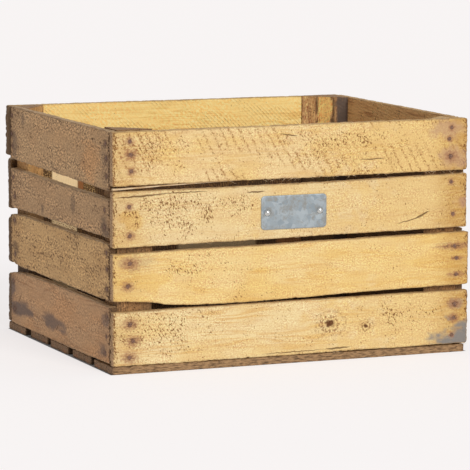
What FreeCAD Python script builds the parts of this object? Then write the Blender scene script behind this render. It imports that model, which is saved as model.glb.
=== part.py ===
import FreeCAD, Part
import math
import os

# A wooden apple crate: rough-sawn slats nailed to four three-sided corner posts,
# on a floor of five boards. Millimetres. The origin is at the middle of the
# underside, +X runs along the length, -Y is the front and +Z is up.

# ---------------------------------------------------------------- driving sizes

crate_length = 500.0         # over the ends of the front and back slats
crate_depth = 410.0          # over the faces of the front and back slats
crate_height = 310.0         # floor to the nominal top edge of the walls

slat_thickness = 10.0
slat_gap = 6.6               # nominal air gap between one slat and the next
courses = 4                  # slats in each wall, numbered from the top
edge_curve_degree = 2        # a wandering edge stays inside its guide points

board_thickness = 10.0
board_gap = 15.0             # air gap between bottom boards
board_count = 5
board_end_trims = ((0.0, 1.0), (1.5, 2.5), (0.5, 4.0), (2.0, 1.0), (0.0, 3.5))  # left, right

post_leg_length = 48.0       # leg of the post's section along the front and back walls
post_leg_extra = {"front_left": 0.0, "front_right": 0.0, "back_left": -10.0, "back_right": 4.0}
post_leg_depth = 45.0        # leg of the post's section along the end walls
post_arris = 2.5             # flat left on each sharp edge by the saw
post_rise = {"front_left": 2.0, "front_right": 0.0, "back_left": 0.5, "back_right": 1.0}

nail_shank_diameter = 2.2
nail_head_diameter = 5.0
nail_head_thickness = 1.0
nail_length = 34.0
nail_point_length = 4.0
nail_clearance = 0.05        # radial, between a nail and its hole
wall_nail_inset = 24.0       # front and back nails, from the slat's end
end_nail_inset = 12.0        # end wall nails, from the slat's end
floor_nail_edge = 14.0       # from a bottom board's long edge
floor_post_inset = (6.0, 22.0)   # nail into a post's foot, from the post's outer faces

plate_length = 92.0
plate_height = 44.0
plate_thickness = 1.5
plate_corner_radius = 5.0
plate_screw_inset = 9.0      # from the plate's ends to the screw axes
screw_shank_diameter = 3.5
screw_head_diameter = 9.0
screw_head_height = 2.6
screw_length = 9.0           # from under the head to the point
screw_slot_width = 1.1
screw_slot_depth = 1.0
screw_clearance = 0.05       # radial, between a screw and its hole

# ---------------------------------------------------------------- derived sizes

half_length = crate_length / 2
half_depth = crate_depth / 2
inner_half_length = half_length - slat_thickness
inner_half_depth = half_depth - slat_thickness
slat_height = (crate_height - board_thickness - (courses - 1) * slat_gap) / courses
course_pitch = slat_height + slat_gap
board_width = (crate_depth - (board_count - 1) * board_gap) / board_count

# ---------------------------------------------------------------- the slats
# Every slat is cut from its own rough board, so its two long edges wander.
# low and high hold (share along the slat, offset from the nominal edge in mm).
# nails hold (share of the slat's nominal height, shift along the slat in mm)
# for the slat's start and its finish. slip moves a whole slat along its wall, and
# longer runs it on past its finish. Front and back slats start at the left, end
# slats at the back.

front_slats = (
    {"low": ((0.0, 0.9), (0.5, 1.6), (1.0, 3.4)), "high": ((0.0, 0.0), (1.0, 1.5)),
     "start_nails": ((0.28, 2), (0.58, 1), (0.82, 0)),
     "finish_nails": ((0.31, 0), (0.64, -2), (0.85, 1))},
    {"low": ((0.0, -0.8), (1.0, 4.0)), "high": ((0.0, 0.6), (0.4, -1.4), (1.0, 5.2)),
     "start_nails": ((0.20, 0), (0.73, -1)),
     "finish_nails": ((0.31, 4), (0.92, 1))},
    {"low": ((0.0, 7.6), (0.1, 5.8), (0.16, -1.6), (0.4, -3.6), (0.7, 2.2), (1.0, 4.0)),
     "high": ((0.0, -2.6), (1.0, 3.8)), "longer": 3.0,
     "start_nails": ((0.37, -3), (0.79, 0)),
     "finish_nails": ((0.25, 10), (0.56, 10), (0.79, 7))},
    {"low": ((0.0, 0.2), (0.45, 1.4), (1.0, 1.4)), "high": ((0.0, -0.2), (1.0, 2.7)),
     "longer": 3.0,
     "start_nails": ((0.16, -1), (0.46, 4), (0.77, 0)),
     "finish_nails": ((0.19, 4), (0.51, 7), (0.78, 8))},
)

back_slats = (
    {"low": ((0.0, 2.2), (1.0, -2.0)), "high": ((0.0, 0.6), (1.0, 0.0)), "slip": -3.0,
     "start_nails": ((0.12, 1), (0.37, -1), (0.66, 2)),
     "finish_nails": ((0.26, 0), (0.60, 1), (0.84, -2))},
    {"low": ((0.0, 5.5), (0.5, 0.5), (1.0, 2.0)), "high": ((0.0, 4.4), (0.3, -1.6), (1.0, -1.5)),
     "start_nails": ((0.25, 0), (0.76, 1)),
     "finish_nails": ((0.22, -2), (0.74, 0))},
    {"low": ((0.0, 7.0), (0.2, 2.0), (1.0, 3.2)), "high": ((0.0, -0.6), (0.6, 0.8), (1.0, -1.0)),
     "start_nails": ((0.16, -1), (0.72, 2)),
     "finish_nails": ((0.24, 1), (0.72, -1))},
    {"low": ((0.0, 1.0), (1.0, 0.4)), "high": ((0.0, -2.6), (0.3, 1.8), (1.0, -0.6)),
     "start_nails": ((0.18, 1), (0.50, -2), (0.78, 0)),
     "finish_nails": ((0.20, 0), (0.54, 2), (0.80, -1))},
)

left_end_slats = (
    {"low": ((0.0, -1.6), (0.3, -2.6), (1.0, -5.8)), "high": ((0.0, 0.0), (1.0, 0.0)),
     "start_nails": ((0.23, -3), (0.465, -6), (0.83, -4)),
     "finish_nails": ((0.17, 0), (0.50, 0), (0.765, -3))},
    {"low": ((0.0, 7.6), (0.12, 9.6), (1.0, 10.6)), "high": ((0.0, -8.6), (1.0, -10.8)),
     "start_nails": ((0.34, 6), (0.715, 0)),
     "finish_nails": ((0.325, -7), (0.645, -6))},
    {"low": ((0.0, 10.0), (0.06, 5.6), (0.2, 6.2), (1.0, 6.6)),
     "high": ((0.0, 3.6), (0.08, 7.6), (0.3, 7.8), (1.0, 9.2)),
     "start_nails": ((0.29, 6), (0.96, 5)),
     "finish_nails": ((0.30, 1), (0.66, 1), (0.97, 0))},
    {"low": ((0.0, 0.5), (0.55, 0.5), (1.0, 2.7)),
     "high": ((0.0, -0.8), (0.06, 3.4), (0.25, 5.6), (0.5, 7.2), (1.0, 6.0)),
     "start_nails": ((0.30, 4), (0.845, -1)),
     "finish_nails": ((0.21, -6), (0.515, -1), (0.89, 1))},
)

right_end_slats = (
    {"low": ((0.0, 10.0), (1.0, 14.0)), "high": ((0.0, 0.4), (1.0, 0.8)),
     "start_nails": ((0.36, 0), (0.74, 2)),
     "finish_nails": ((0.40, 1), (0.74, 0))},
    {"low": ((0.0, 7.0), (1.0, 10.6)), "high": ((0.0, 7.0), (1.0, 12.4)),
     "start_nails": ((0.34, 1), (0.65, 3)),
     "finish_nails": ((0.38, 0), (0.66, 1))},
    {"low": ((0.0, 9.0), (0.6, 12.4), (1.0, 11.2)), "high": ((0.0, 4.2), (1.0, 7.6)),
     "start_nails": ((0.34, 2), (0.65, 0)),
     "finish_nails": ((0.37, 0), (0.66, 2))},
    {"low": ((0.0, 1.2), (1.0, 4.0)), "high": ((0.0, 8.6), (1.0, 12.0)),
     "start_nails": ((0.31, 1), (0.63, 2), (0.90, 3)),
     "finish_nails": ((0.32, 2), (0.62, 0), (0.95, 1))},
)


def vector(x, y, z):
    return FreeCAD.Vector(x, y, z)


def save(name, shape):
    shape.exportStep("parts/%s.step" % name)


def course_foot(course):
    """Nominal low edge of a course of slats, course 1 being the top one."""
    return board_thickness + (courses - course) * course_pitch


def edge_line(points):
    """One long edge of a slat: straight between two points, a smooth curve guided by more."""
    if len(points) == 2:
        return Part.makeLine(points[0], points[1])
    curve = Part.BSplineCurve()
    curve.buildFromPoles(points, False, edge_curve_degree)
    return curve.toShape()


def slat_blank(start, finish, outward, course, wander):
    """A slat whose outer face runs from start to finish (plan points, z = 0)."""
    run = finish - start
    end = start + run * (wander.get("slip", 0.0) / run.Length)
    run = run * (1 + wander.get("longer", 0.0) / run.Length)
    foot = course_foot(course)
    low = [end + run * s + vector(0, 0, foot + d) for s, d in wander["low"]]
    high = [end + run * s + vector(0, 0, foot + slat_height + d) for s, d in wander["high"]]
    sides = [
        edge_line(low),
        Part.makeLine(low[-1], high[-1]),
        edge_line(high),
        Part.makeLine(high[0], low[0]),
    ]
    face = Part.Face(Part.Wire(Part.__sortEdges__(sides)))
    return face.extrude(outward * -slat_thickness)


def nail_places(start, finish, outward, course, wander, inset):
    """(point on the outer face, outward direction) of every nail in one slat."""
    along = (finish - start).normalize()
    foot = course_foot(course)
    places = []
    for end, direction, nails in (
        (start, along, wander["start_nails"]),
        (finish, along * -1, wander["finish_nails"]),
    ):
        for share, shift in nails:
            place = end + direction * inset + along * shift
            places.append((place + vector(0, 0, foot + share * slat_height), outward))
    return places


def wall(name, start, finish, outward, wanders, inset):
    """The slats of one wall and its nails: {node name: blank}, [nail places]."""
    slats = {}
    nails = []
    for index, wander in enumerate(wanders):
        course = index + 1
        slats["%s_slat_%d" % (name, course)] = slat_blank(start, finish, outward, course, wander)
        nails += nail_places(start, finish, outward, course, wander, inset)
    return slats, nails


# ---------------------------------------------------------------- nails and screws

def nail(place, outward, clearance):
    """A round wire nail with its head sunk flush. With a clearance it is the nail's hole."""
    inward = outward * -1
    shank_radius = nail_shank_diameter / 2 + clearance
    head_radius = nail_head_diameter / 2 + clearance
    under_head = place + inward * nail_head_thickness
    straight = nail_length - nail_head_thickness - nail_point_length
    head = Part.makeCylinder(head_radius, nail_head_thickness, place, inward)
    shank = Part.makeCylinder(shank_radius, straight, under_head, inward)
    point_start = under_head + inward * straight
    point = Part.makeCone(shank_radius, shank_radius / 8, nail_point_length, point_start, inward)
    return head.fuse([shank, point]).removeSplitter()


def screw(place, outward, clearance):
    """A round-head wood screw seated on the plate. With a clearance it is the screw's hole."""
    inward = outward * -1
    shank_radius = screw_shank_diameter / 2 + clearance
    point_length = screw_shank_diameter / 2
    straight = screw_length - point_length
    shank = Part.makeCylinder(shank_radius, straight, place, inward)
    point_start = place + inward * straight
    point = Part.makeCone(shank_radius, shank_radius / 8, point_length, point_start, inward)
    body = shank.fuse(point)
    if clearance > 0:
        return body.removeSplitter()
    head_radius = screw_head_diameter / 2
    dome_radius = (head_radius ** 2 + screw_head_height ** 2) / (2 * screw_head_height)
    centre = place + outward * (screw_head_height - dome_radius)
    dome = Part.makeSphere(dome_radius, centre)
    cap = Part.makeCylinder(head_radius, screw_head_height, place, outward)
    head = dome.common(cap)
    slot = Part.makeBox(screw_head_diameter, 2 * screw_slot_depth, screw_slot_width)
    slot_front = place.y - screw_head_height - screw_slot_depth
    slot.translate(vector(place.x - head_radius, slot_front, place.z - screw_slot_width / 2))
    return body.fuse(head.cut(slot)).removeSplitter()


def cut_holes(blank, tools):
    """Cuts only the tools that reach the blank, to keep each cut small."""
    near = [t for t in tools if t.BoundBox.intersect(blank.BoundBox)]
    return blank.cut(near) if near else blank


# ---------------------------------------------------------------- posts and floor

def corner_post(side_x, side_y, rise, leg_length):
    """A strip sawn corner to corner: its square corner faces out, its sawn face in."""
    corner_x = side_x * inner_half_length
    corner_y = side_y * inner_half_depth
    section = (
        (0.0, 0.0),
        (leg_length, 0.0),
        (leg_length, post_arris),
        (post_arris, post_leg_depth),
        (0.0, post_leg_depth),
        (0.0, 0.0),
    )
    outline = [
        vector(corner_x - side_x * along, corner_y - side_y * across, board_thickness)
        for along, across in section
    ]
    face = Part.Face(Part.makePolygon(outline))
    return face.extrude(vector(0, 0, crate_height - board_thickness + rise))


def bottom_board(index):
    """Boards run lengthwise, number 1 at the front."""
    left_trim, right_trim = board_end_trims[index]
    front = -half_depth + index * (board_width + board_gap)
    length = crate_length - left_trim - right_trim
    corner = vector(-half_length + left_trim, front, 0)
    return Part.makeBox(length, board_width, board_thickness, corner)


def floor_nail_places():
    """Nails driven up through the boards into the end walls and the posts' feet."""
    places = []
    down = vector(0, 0, -1)
    into_end_wall = half_length - slat_thickness / 2
    for index in range(board_count):
        front = -half_depth + index * (board_width + board_gap)
        edges = [front + floor_nail_edge, front + board_width - floor_nail_edge]
        outer_front = index == 0
        outer_back = index == board_count - 1
        for side_x in (-1, 1):
            if not outer_front:
                places.append((vector(side_x * into_end_wall, edges[0], 0), down))
            if not outer_back:
                places.append((vector(side_x * into_end_wall, edges[1], 0), down))
            if outer_front or outer_back:
                side_y = -1 if outer_front else 1
                foot_x = side_x * (inner_half_length - floor_post_inset[0])
                foot_y = side_y * (inner_half_depth - floor_post_inset[1])
                places.append((vector(foot_x, foot_y, 0), down))
    return places


# ---------------------------------------------------------------- the plate

def rounded_rectangle(length, height, radius, place):
    """A face in the XZ plane with rounded corners, centred on place."""
    straight_x = length / 2 - radius
    straight_z = height / 2 - radius
    edges = []
    corners = ((1, 1, 0), (-1, 1, 90), (-1, -1, 180), (1, -1, 270))
    ends = []
    for sign_x, sign_z, start_angle in corners:
        centre = place + vector(sign_x * straight_x, 0, sign_z * straight_z)
        points = []
        for angle in (start_angle, start_angle + 45, start_angle + 90):
            turn = math.radians(angle)
            points.append(centre + vector(radius * math.cos(turn), 0, radius * math.sin(turn)))
        edges.append(Part.Arc(points[0], points[1], points[2]).toShape())
        ends.append((points[0], points[2]))
    for index in range(len(ends)):
        edges.append(Part.makeLine(ends[index][1], ends[(index + 1) % len(ends)][0]))
    return Part.Face(Part.Wire(Part.__sortEdges__(edges)))


def main():
    os.makedirs("parts", exist_ok=True)

    front_left = vector(-half_length, -half_depth, 0)
    front_right = vector(half_length, -half_depth, 0)
    back_left = vector(-half_length, half_depth, 0)
    back_right = vector(half_length, half_depth, 0)
    between = vector(0, slat_thickness, 0)   # end slats fit between front and back slats

    walls = (
        ("front", front_left, front_right, vector(0, -1, 0), front_slats, wall_nail_inset),
        ("back", back_left, back_right, vector(0, 1, 0), back_slats, wall_nail_inset),
        ("left_end", back_left - between, front_left + between, vector(-1, 0, 0),
         left_end_slats, end_nail_inset),
        ("right_end", back_right - between, front_right + between, vector(1, 0, 0),
         right_end_slats, end_nail_inset),
    )

    wood = {}
    nail_groups = {}
    for name, start, finish, outward, wanders, inset in walls:
        slats, places = wall(name, start, finish, outward, wanders, inset)
        wood.update(slats)
        nail_groups[name + "_nails"] = places
    for corner, rise in post_rise.items():
        side_y = -1 if corner.startswith("front") else 1
        side_x = -1 if corner.endswith("left") else 1
        leg_length = post_leg_length + post_leg_extra[corner]
        wood["corner_post_" + corner] = corner_post(side_x, side_y, rise, leg_length)
    for index in range(board_count):
        wood["bottom_board_%d" % (index + 1)] = bottom_board(index)
    nail_groups["bottom_nails"] = floor_nail_places()

    hole_tools = []
    for group, places in nail_groups.items():
        solids = [nail(place, outward, 0.0) for place, outward in places]
        hole_tools += [nail(place, outward, nail_clearance) for place, outward in places]
        save(group, Part.makeCompound(solids))

    plate_course = 2
    plate_z = course_foot(plate_course) + slat_height / 2
    plate_back = vector(0, -half_depth, plate_z)
    front = vector(0, -1, 0)
    plate = rounded_rectangle(plate_length, plate_height, plate_corner_radius, plate_back)
    plate = plate.extrude(front * plate_thickness)
    screws = []
    for side in (-1, 1):
        seat = plate_back + front * plate_thickness
        seat = seat + vector(side * (plate_length / 2 - plate_screw_inset), 0, 0)
        screws.append(screw(seat, front, 0.0))
        hole = screw(seat, front, screw_clearance)
        hole_tools.append(hole)
        plate = plate.cut(hole)
    save("label_plate", plate)
    save("label_screws", Part.makeCompound(screws))

    for name, blank in wood.items():
        solid = cut_holes(blank, hole_tools)
        if len(solid.Solids) != 1 or not solid.isValid():
            raise ValueError("%s is not one valid solid" % name)
        save(name, solid.Solids[0])
    print("wrote", len(wood) + len(nail_groups) + 2, "nodes")


main()
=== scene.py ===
# %% [markdown]
# # A wooden apple crate
# This is a picker's crate: four walls of rough-sawn slats, nailed to four
# three-sided corner posts, on a floor of five boards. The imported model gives
# every piece its place and size. Here each plain board is swapped for a worn
# one that fills the same space, so the crate keeps its joints and its size.

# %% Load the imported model
import math

import bpy
import numpy as np
from mathutils import Matrix, Vector
from mathutils.bvhtree import BVHTree


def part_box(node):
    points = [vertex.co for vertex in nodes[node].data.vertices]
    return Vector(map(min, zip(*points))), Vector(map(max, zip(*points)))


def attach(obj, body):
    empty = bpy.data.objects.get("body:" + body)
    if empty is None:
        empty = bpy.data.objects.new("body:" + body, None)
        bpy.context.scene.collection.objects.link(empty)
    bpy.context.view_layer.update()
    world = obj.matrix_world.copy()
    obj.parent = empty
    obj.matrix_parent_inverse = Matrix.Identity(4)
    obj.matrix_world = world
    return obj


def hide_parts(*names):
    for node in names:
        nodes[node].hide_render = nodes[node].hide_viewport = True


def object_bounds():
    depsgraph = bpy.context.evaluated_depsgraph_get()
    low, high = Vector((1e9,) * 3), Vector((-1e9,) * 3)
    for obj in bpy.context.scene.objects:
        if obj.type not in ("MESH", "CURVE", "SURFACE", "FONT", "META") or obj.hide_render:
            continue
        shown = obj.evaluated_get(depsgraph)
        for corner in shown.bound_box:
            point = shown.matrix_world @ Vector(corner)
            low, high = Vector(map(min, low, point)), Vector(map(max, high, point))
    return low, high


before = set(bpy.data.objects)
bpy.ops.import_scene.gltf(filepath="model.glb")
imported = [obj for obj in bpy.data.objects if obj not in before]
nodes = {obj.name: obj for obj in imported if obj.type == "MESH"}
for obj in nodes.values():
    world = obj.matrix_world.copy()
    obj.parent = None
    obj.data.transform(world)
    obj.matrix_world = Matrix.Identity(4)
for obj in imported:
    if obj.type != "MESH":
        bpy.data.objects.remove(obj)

MM = 0.001
cad_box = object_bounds()
crate_low, crate_high = cad_box
print("packed nodes:", len(nodes), "box:", [round(v, 3) for v in (*crate_low, *crate_high)])

# %% [markdown]
# ## Camera
# A crate is usually pictured from a little above its rim and off one corner,
# through a long lens, so that its edges stay nearly parallel. Such a camera
# could be tracked to a target, but turning three plain angles into its axes
# keeps the view exact and easy to change.

# %% Camera
camera_azimuth = math.radians(22.745)      # round towards the left end wall
camera_elevation = math.radians(7.422)     # above level
camera_roll = math.radians(0.14)
camera_distance = 4.267
camera_aim = Vector((0, 0, 0.150))
camera_slide = (3.6 * MM, -6.95 * MM)      # right and up, to frame the crate
lens_mm = 241.43


def camera_matrix():
    """The camera's place and axes from its three angles."""
    flat = math.cos(camera_elevation)
    back = Vector((
        -math.sin(camera_azimuth) * flat,
        -math.cos(camera_azimuth) * flat,
        math.sin(camera_elevation),
    ))
    right = (-back).cross(Vector((0, 0, 1))).normalized()
    up = right.cross(-back)
    place = camera_aim + back * camera_distance
    place += right * camera_slide[0] + up * camera_slide[1]
    rolled_right = right * math.cos(camera_roll) + up * math.sin(camera_roll)
    rolled_up = up * math.cos(camera_roll) - right * math.sin(camera_roll)
    matrix = Matrix((rolled_right, rolled_up, back)).transposed().to_4x4()
    matrix.translation = place
    return matrix


camera = bpy.data.objects.new("camera", bpy.data.cameras.new("camera"))
camera.data.lens = lens_mm
camera.data.sensor_width = 36.0
camera.data.clip_end = 100.0
camera.matrix_world = camera_matrix()
bpy.context.scene.collection.objects.link(camera)
bpy.context.scene.camera = camera
print("camera at", [round(v, 3) for v in camera.matrix_world.translation])

# %% [markdown]
# ## Floor and light
# The crate stands on a pale table that is lit from below, as used for shop
# pictures: its glow washes out all but the closest shadow. The glow is left
# off right under the crate, where a real one would be covered. The rest is a
# soft white surround and a broad low sun from the front, which makes the
# front wall the brightest one, reaches over it to the top of the back wall,
# and leaves the inside below that dark.

# %% Floor and light
scene = bpy.context.scene
scene.view_settings.view_transform = "Standard"


def tone(red, green, blue):
    """A paint-chart colour, 0 to 255 as a screen shows it, turned into light."""
    out = []
    for part in (red, green, blue):
        share = part / 255
        out.append(share / 12.92 if share <= 0.04045 else ((share + 0.055) / 1.055) ** 2.4)
    return (*out, 1.0)


surround_strength = 0.60
sun_strength = 1.8
sun_width = math.radians(24)
sun_turn = (math.radians(64), 0, math.radians(8))   # from straight down
table_glow = 0.69
table_reach = 30.0
cover_inset = 1 * MM


def light_studio():
    """A soft white surround and one broad sun."""
    world = bpy.data.worlds.new("studio_surround")
    world.use_nodes = True
    surround = world.node_tree.nodes["Background"]
    surround.inputs["Color"].default_value = tone(250, 251, 255)
    surround.inputs["Strength"].default_value = surround_strength
    scene.world = world

    sun = bpy.data.objects.new("soft_sun", bpy.data.lights.new("soft_sun", "SUN"))
    sun.data.energy = sun_strength
    sun.data.angle = sun_width
    sun.data.color = (1.0, 0.985, 0.95)
    sun.rotation_euler = sun_turn
    scene.collection.objects.link(sun)


def lay_table():
    """The glowing table, as three by three tiles with the covered one in the middle."""
    reach_x = crate_high.x - cover_inset
    reach_y = crate_high.y - cover_inset
    lines_x = (-table_reach, -reach_x, reach_x, table_reach)
    lines_y = (-table_reach, -reach_y, reach_y, table_reach)
    corners = [(x, y, 0) for y in lines_y for x in lines_x]
    firsts = [4 * row + column for row in range(3) for column in range(3)]
    mesh = bpy.data.meshes.new("studio_floor")
    mesh.from_pydata(corners, [], [(k, k + 1, k + 5, k + 4) for k in firsts])
    floor = bpy.data.objects.new("studio_floor", mesh)
    for name, glow in (("glowing_table", table_glow), ("covered_table", 0.0)):
        paint = bpy.data.materials.new(name)
        paint.use_nodes = True
        shader = paint.node_tree.nodes["Principled BSDF"]
        shader.inputs["Base Color"].default_value = (0.30, 0.295, 0.29, 1)
        shader.inputs["Roughness"].default_value = 0.9
        shader.inputs["Specular IOR Level"].default_value = 0.0
        shader.inputs["Emission Color"].default_value = (1.0, 0.960, 0.954, 1)
        shader.inputs["Emission Strength"].default_value = glow
        mesh.materials.append(paint)
    middle_tile = 4
    mesh.polygons[middle_tile].material_index = 1
    scene.collection.objects.link(floor)


light_studio()
lay_table()
print("floor and light are set")

# %% [markdown]
# ## Noise for the shapes
# Rough timber is uneven at every scale: it bows over its length, its edges
# wander, and the saw tears small chips from it. All of that starts from one
# smooth random function of place. It is worked out here with a seed, so the
# same crate comes out every time.

# %% Smooth noise
# large odd numbers scramble the digits of small whole ones
scramble = (73856093, 19349663, 83492791)
scramble_seed = 2654435761
scramble_again = ((13, 1274126177), (16, 668265263))
digits = 0xFFFFFFFF


def lattice(corner, seed):
    """A fixed random number from -1 to 1 for each whole-numbered corner."""
    mixed = corner[:, 0] * scramble[0] ^ corner[:, 1] * scramble[1] ^ corner[:, 2] * scramble[2]
    mixed = (mixed ^ (seed * scramble_seed)) & digits
    for shift, factor in scramble_again:
        mixed = ((mixed ^ (mixed >> shift)) * factor) & digits
    return (mixed >> 8) / float(digits >> 8) * 2 - 1


def noise(places, lump, seed):
    """Smooth noise at each row of places, with lumps of the given size (mm, one or three)."""
    grid = places / (np.asarray(lump, float) * MM)
    base = np.floor(grid).astype(np.int64)
    part = grid - base
    part = part * part * (3 - 2 * part)
    total = np.zeros(len(places))
    for corner in np.ndindex(2, 2, 2):
        step = np.array(corner)
        weight = np.prod(np.where(step, part, 1 - part), axis=1)
        total += weight * lattice(base + step, seed)
    return total


sample = noise(np.random.default_rng(1).random((500, 3)), 20, 3)
print("noise spans", round(sample.min(), 2), "to", round(sample.max(), 2))

# %% [markdown]
# ## Making a piece
# Every worn piece is a mesh of points and faces, with named values on its
# points for the finish to read. It then rides on the crate's one body and
# takes mostly the place of a imported node. This could be written
# out piece by piece, but a few short helpers keep all the pieces alike.


def new_piece(name, places, faces, marks=None):
    """A smooth mesh in the crate's own frame, with its named values."""
    mesh = bpy.data.meshes.new(name)
    mesh.from_pydata(np.array(places).tolist(), [], faces)
    mesh.shade_smooth()
    for mark, values in (marks or {}).items():
        is_place = values.ndim == 2
        kind, key = ("FLOAT_VECTOR", "vector") if is_place else ("FLOAT", "value")
        layer = mesh.attributes.new(mark, kind, "POINT")
        layer.data.foreach_set(key, values.astype(np.float32).ravel())
    piece = bpy.data.objects.new(name, mesh)
    scene.collection.objects.link(piece)
    return piece


def fix_to_crate(piece, node, swap=True):
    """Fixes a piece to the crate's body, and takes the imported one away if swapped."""
    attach(piece, "root")
    if swap:
        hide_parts(node)
    return piece


def tube_faces(around, rings):
    """Faces between rings of points, which are counted anticlockwise as seen from the last."""
    faces = []
    for row in range(rings - 1):
        for k in range(around):
            near = row * around + k
            far = row * around + (k + 1) % around
            faces.append((near, far, far + around, near + around))
    return faces


def end_caps(around, rings):
    """One face over the first ring, and one over the last."""
    last = (rings - 1) * around
    return [tuple(reversed(range(around))), tuple(range(last, last + around))]


# %% [markdown]
# ## Where the nails and the edges are
# A nail pulls the wood in around its head and stains it with rust, so every
# board has to know its nails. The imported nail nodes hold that: the flat rims
# of the heads lie on the wall's outer face. In the same way a board's own
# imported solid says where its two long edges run, so rays are shot at it.

# %% Walls, nails and edges
class Wall:
    """Which way the boards of one wall run, rise and face."""

    def __init__(self, along, rise, through, outward, nail_node):
        self.along = along
        self.rise = rise
        self.through = through
        self.outward = outward
        self.nail_node = nail_node


walls = {
    "front": Wall(0, 2, 1, -1, "front_nails"),
    "back": Wall(0, 2, 1, 1, "back_nails"),
    "left_end": Wall(1, 2, 0, -1, "left_end_nails"),
    "right_end": Wall(1, 2, 0, 1, "right_end_nails"),
    "bottom": Wall(0, 1, 2, -1, "bottom_nails"),
}
nail_head_width = 5.0 * MM


def vertex_places(obj):
    """An object's points, one row each."""
    flat = np.zeros(len(obj.data.vertices) * 3)
    obj.data.vertices.foreach_get("co", flat)
    return flat.reshape(-1, 3)


def nail_heads(wall):
    """The centre of each nail head on a wall's outer face, one row each."""
    places = vertex_places(nodes[wall.nail_node])
    depth = places[:, wall.through] * wall.outward
    rims = places[depth > depth.max() - 0.01 * MM]
    centres = []
    while len(rims):
        near = np.linalg.norm(rims - rims[0], axis=1) < nail_head_width * 1.1
        centres.append((rims[near].min(axis=0) + rims[near].max(axis=0)) / 2)
        rims = rims[~near]
    return np.array(centres)


def long_edges(node, wall, stations):
    """The low and the high edge of a packed board at each station along it."""
    mesh = nodes[node].data
    tree = BVHTree.FromPolygons(
        [v.co for v in mesh.vertices], [p.vertices for p in mesh.polygons]
    )
    low_corner, high_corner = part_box(node)
    quarter = 0.25 * (high_corner[wall.through] - low_corner[wall.through])
    if wall.outward < 0:
        depth = low_corner[wall.through] + quarter
    else:
        depth = high_corner[wall.through] - quarter
    outside = 10 * MM
    inside = 0.05 * MM
    found = []
    starts = (low_corner[wall.rise] - outside, high_corner[wall.rise] + outside)
    for start, way in zip(starts, (1, -1)):
        heights = []
        for station in stations:
            origin = Vector((0, 0, 0))
            origin[wall.along] = min(
                max(station, low_corner[wall.along] + inside), high_corner[wall.along] - inside
            )
            origin[wall.through] = depth
            origin[wall.rise] = start
            direction = Vector((0, 0, 0))
            direction[wall.rise] = way
            heights.append(tree.ray_cast(origin, direction)[0][wall.rise])
        found.append(np.array(heights))
    return found


heads = {name: nail_heads(wall) for name, wall in walls.items()}
print("nail heads:", {name: len(rows) for name, rows in heads.items()})

# %% [markdown]
# ## A rough-sawn board
# A board could be a box with a bump map, but then its edges would be ruler
# straight against the light. Here the surface is a fine mesh wrapped round
# the board: rings of points across it, one after another along it, with a
# grid over each sawn end. The points are then moved by the noise: a slight
# bow, saw ridges, fuzzy ends, chips out of the arrises and a dimple at each
# nail. What was done where is kept as named values on the points, for the
# finishes to read.

# %% The wrapped mesh
arris = 0.8 * MM
step_through = 2 * MM


def spread(length, step, edge):
    """Shares from 0 to 1 about one step apart, with one extra close to each end."""
    count = max(2, int(round(length / step)))
    inner = np.linspace(0, 1, count + 1)[1:-1]
    near = edge / length
    inner = inner[(inner > 2 * near) & (inner < 1 - 2 * near)]
    return np.concatenate(([0.0, near], inner, [1 - near, 1.0]))


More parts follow.
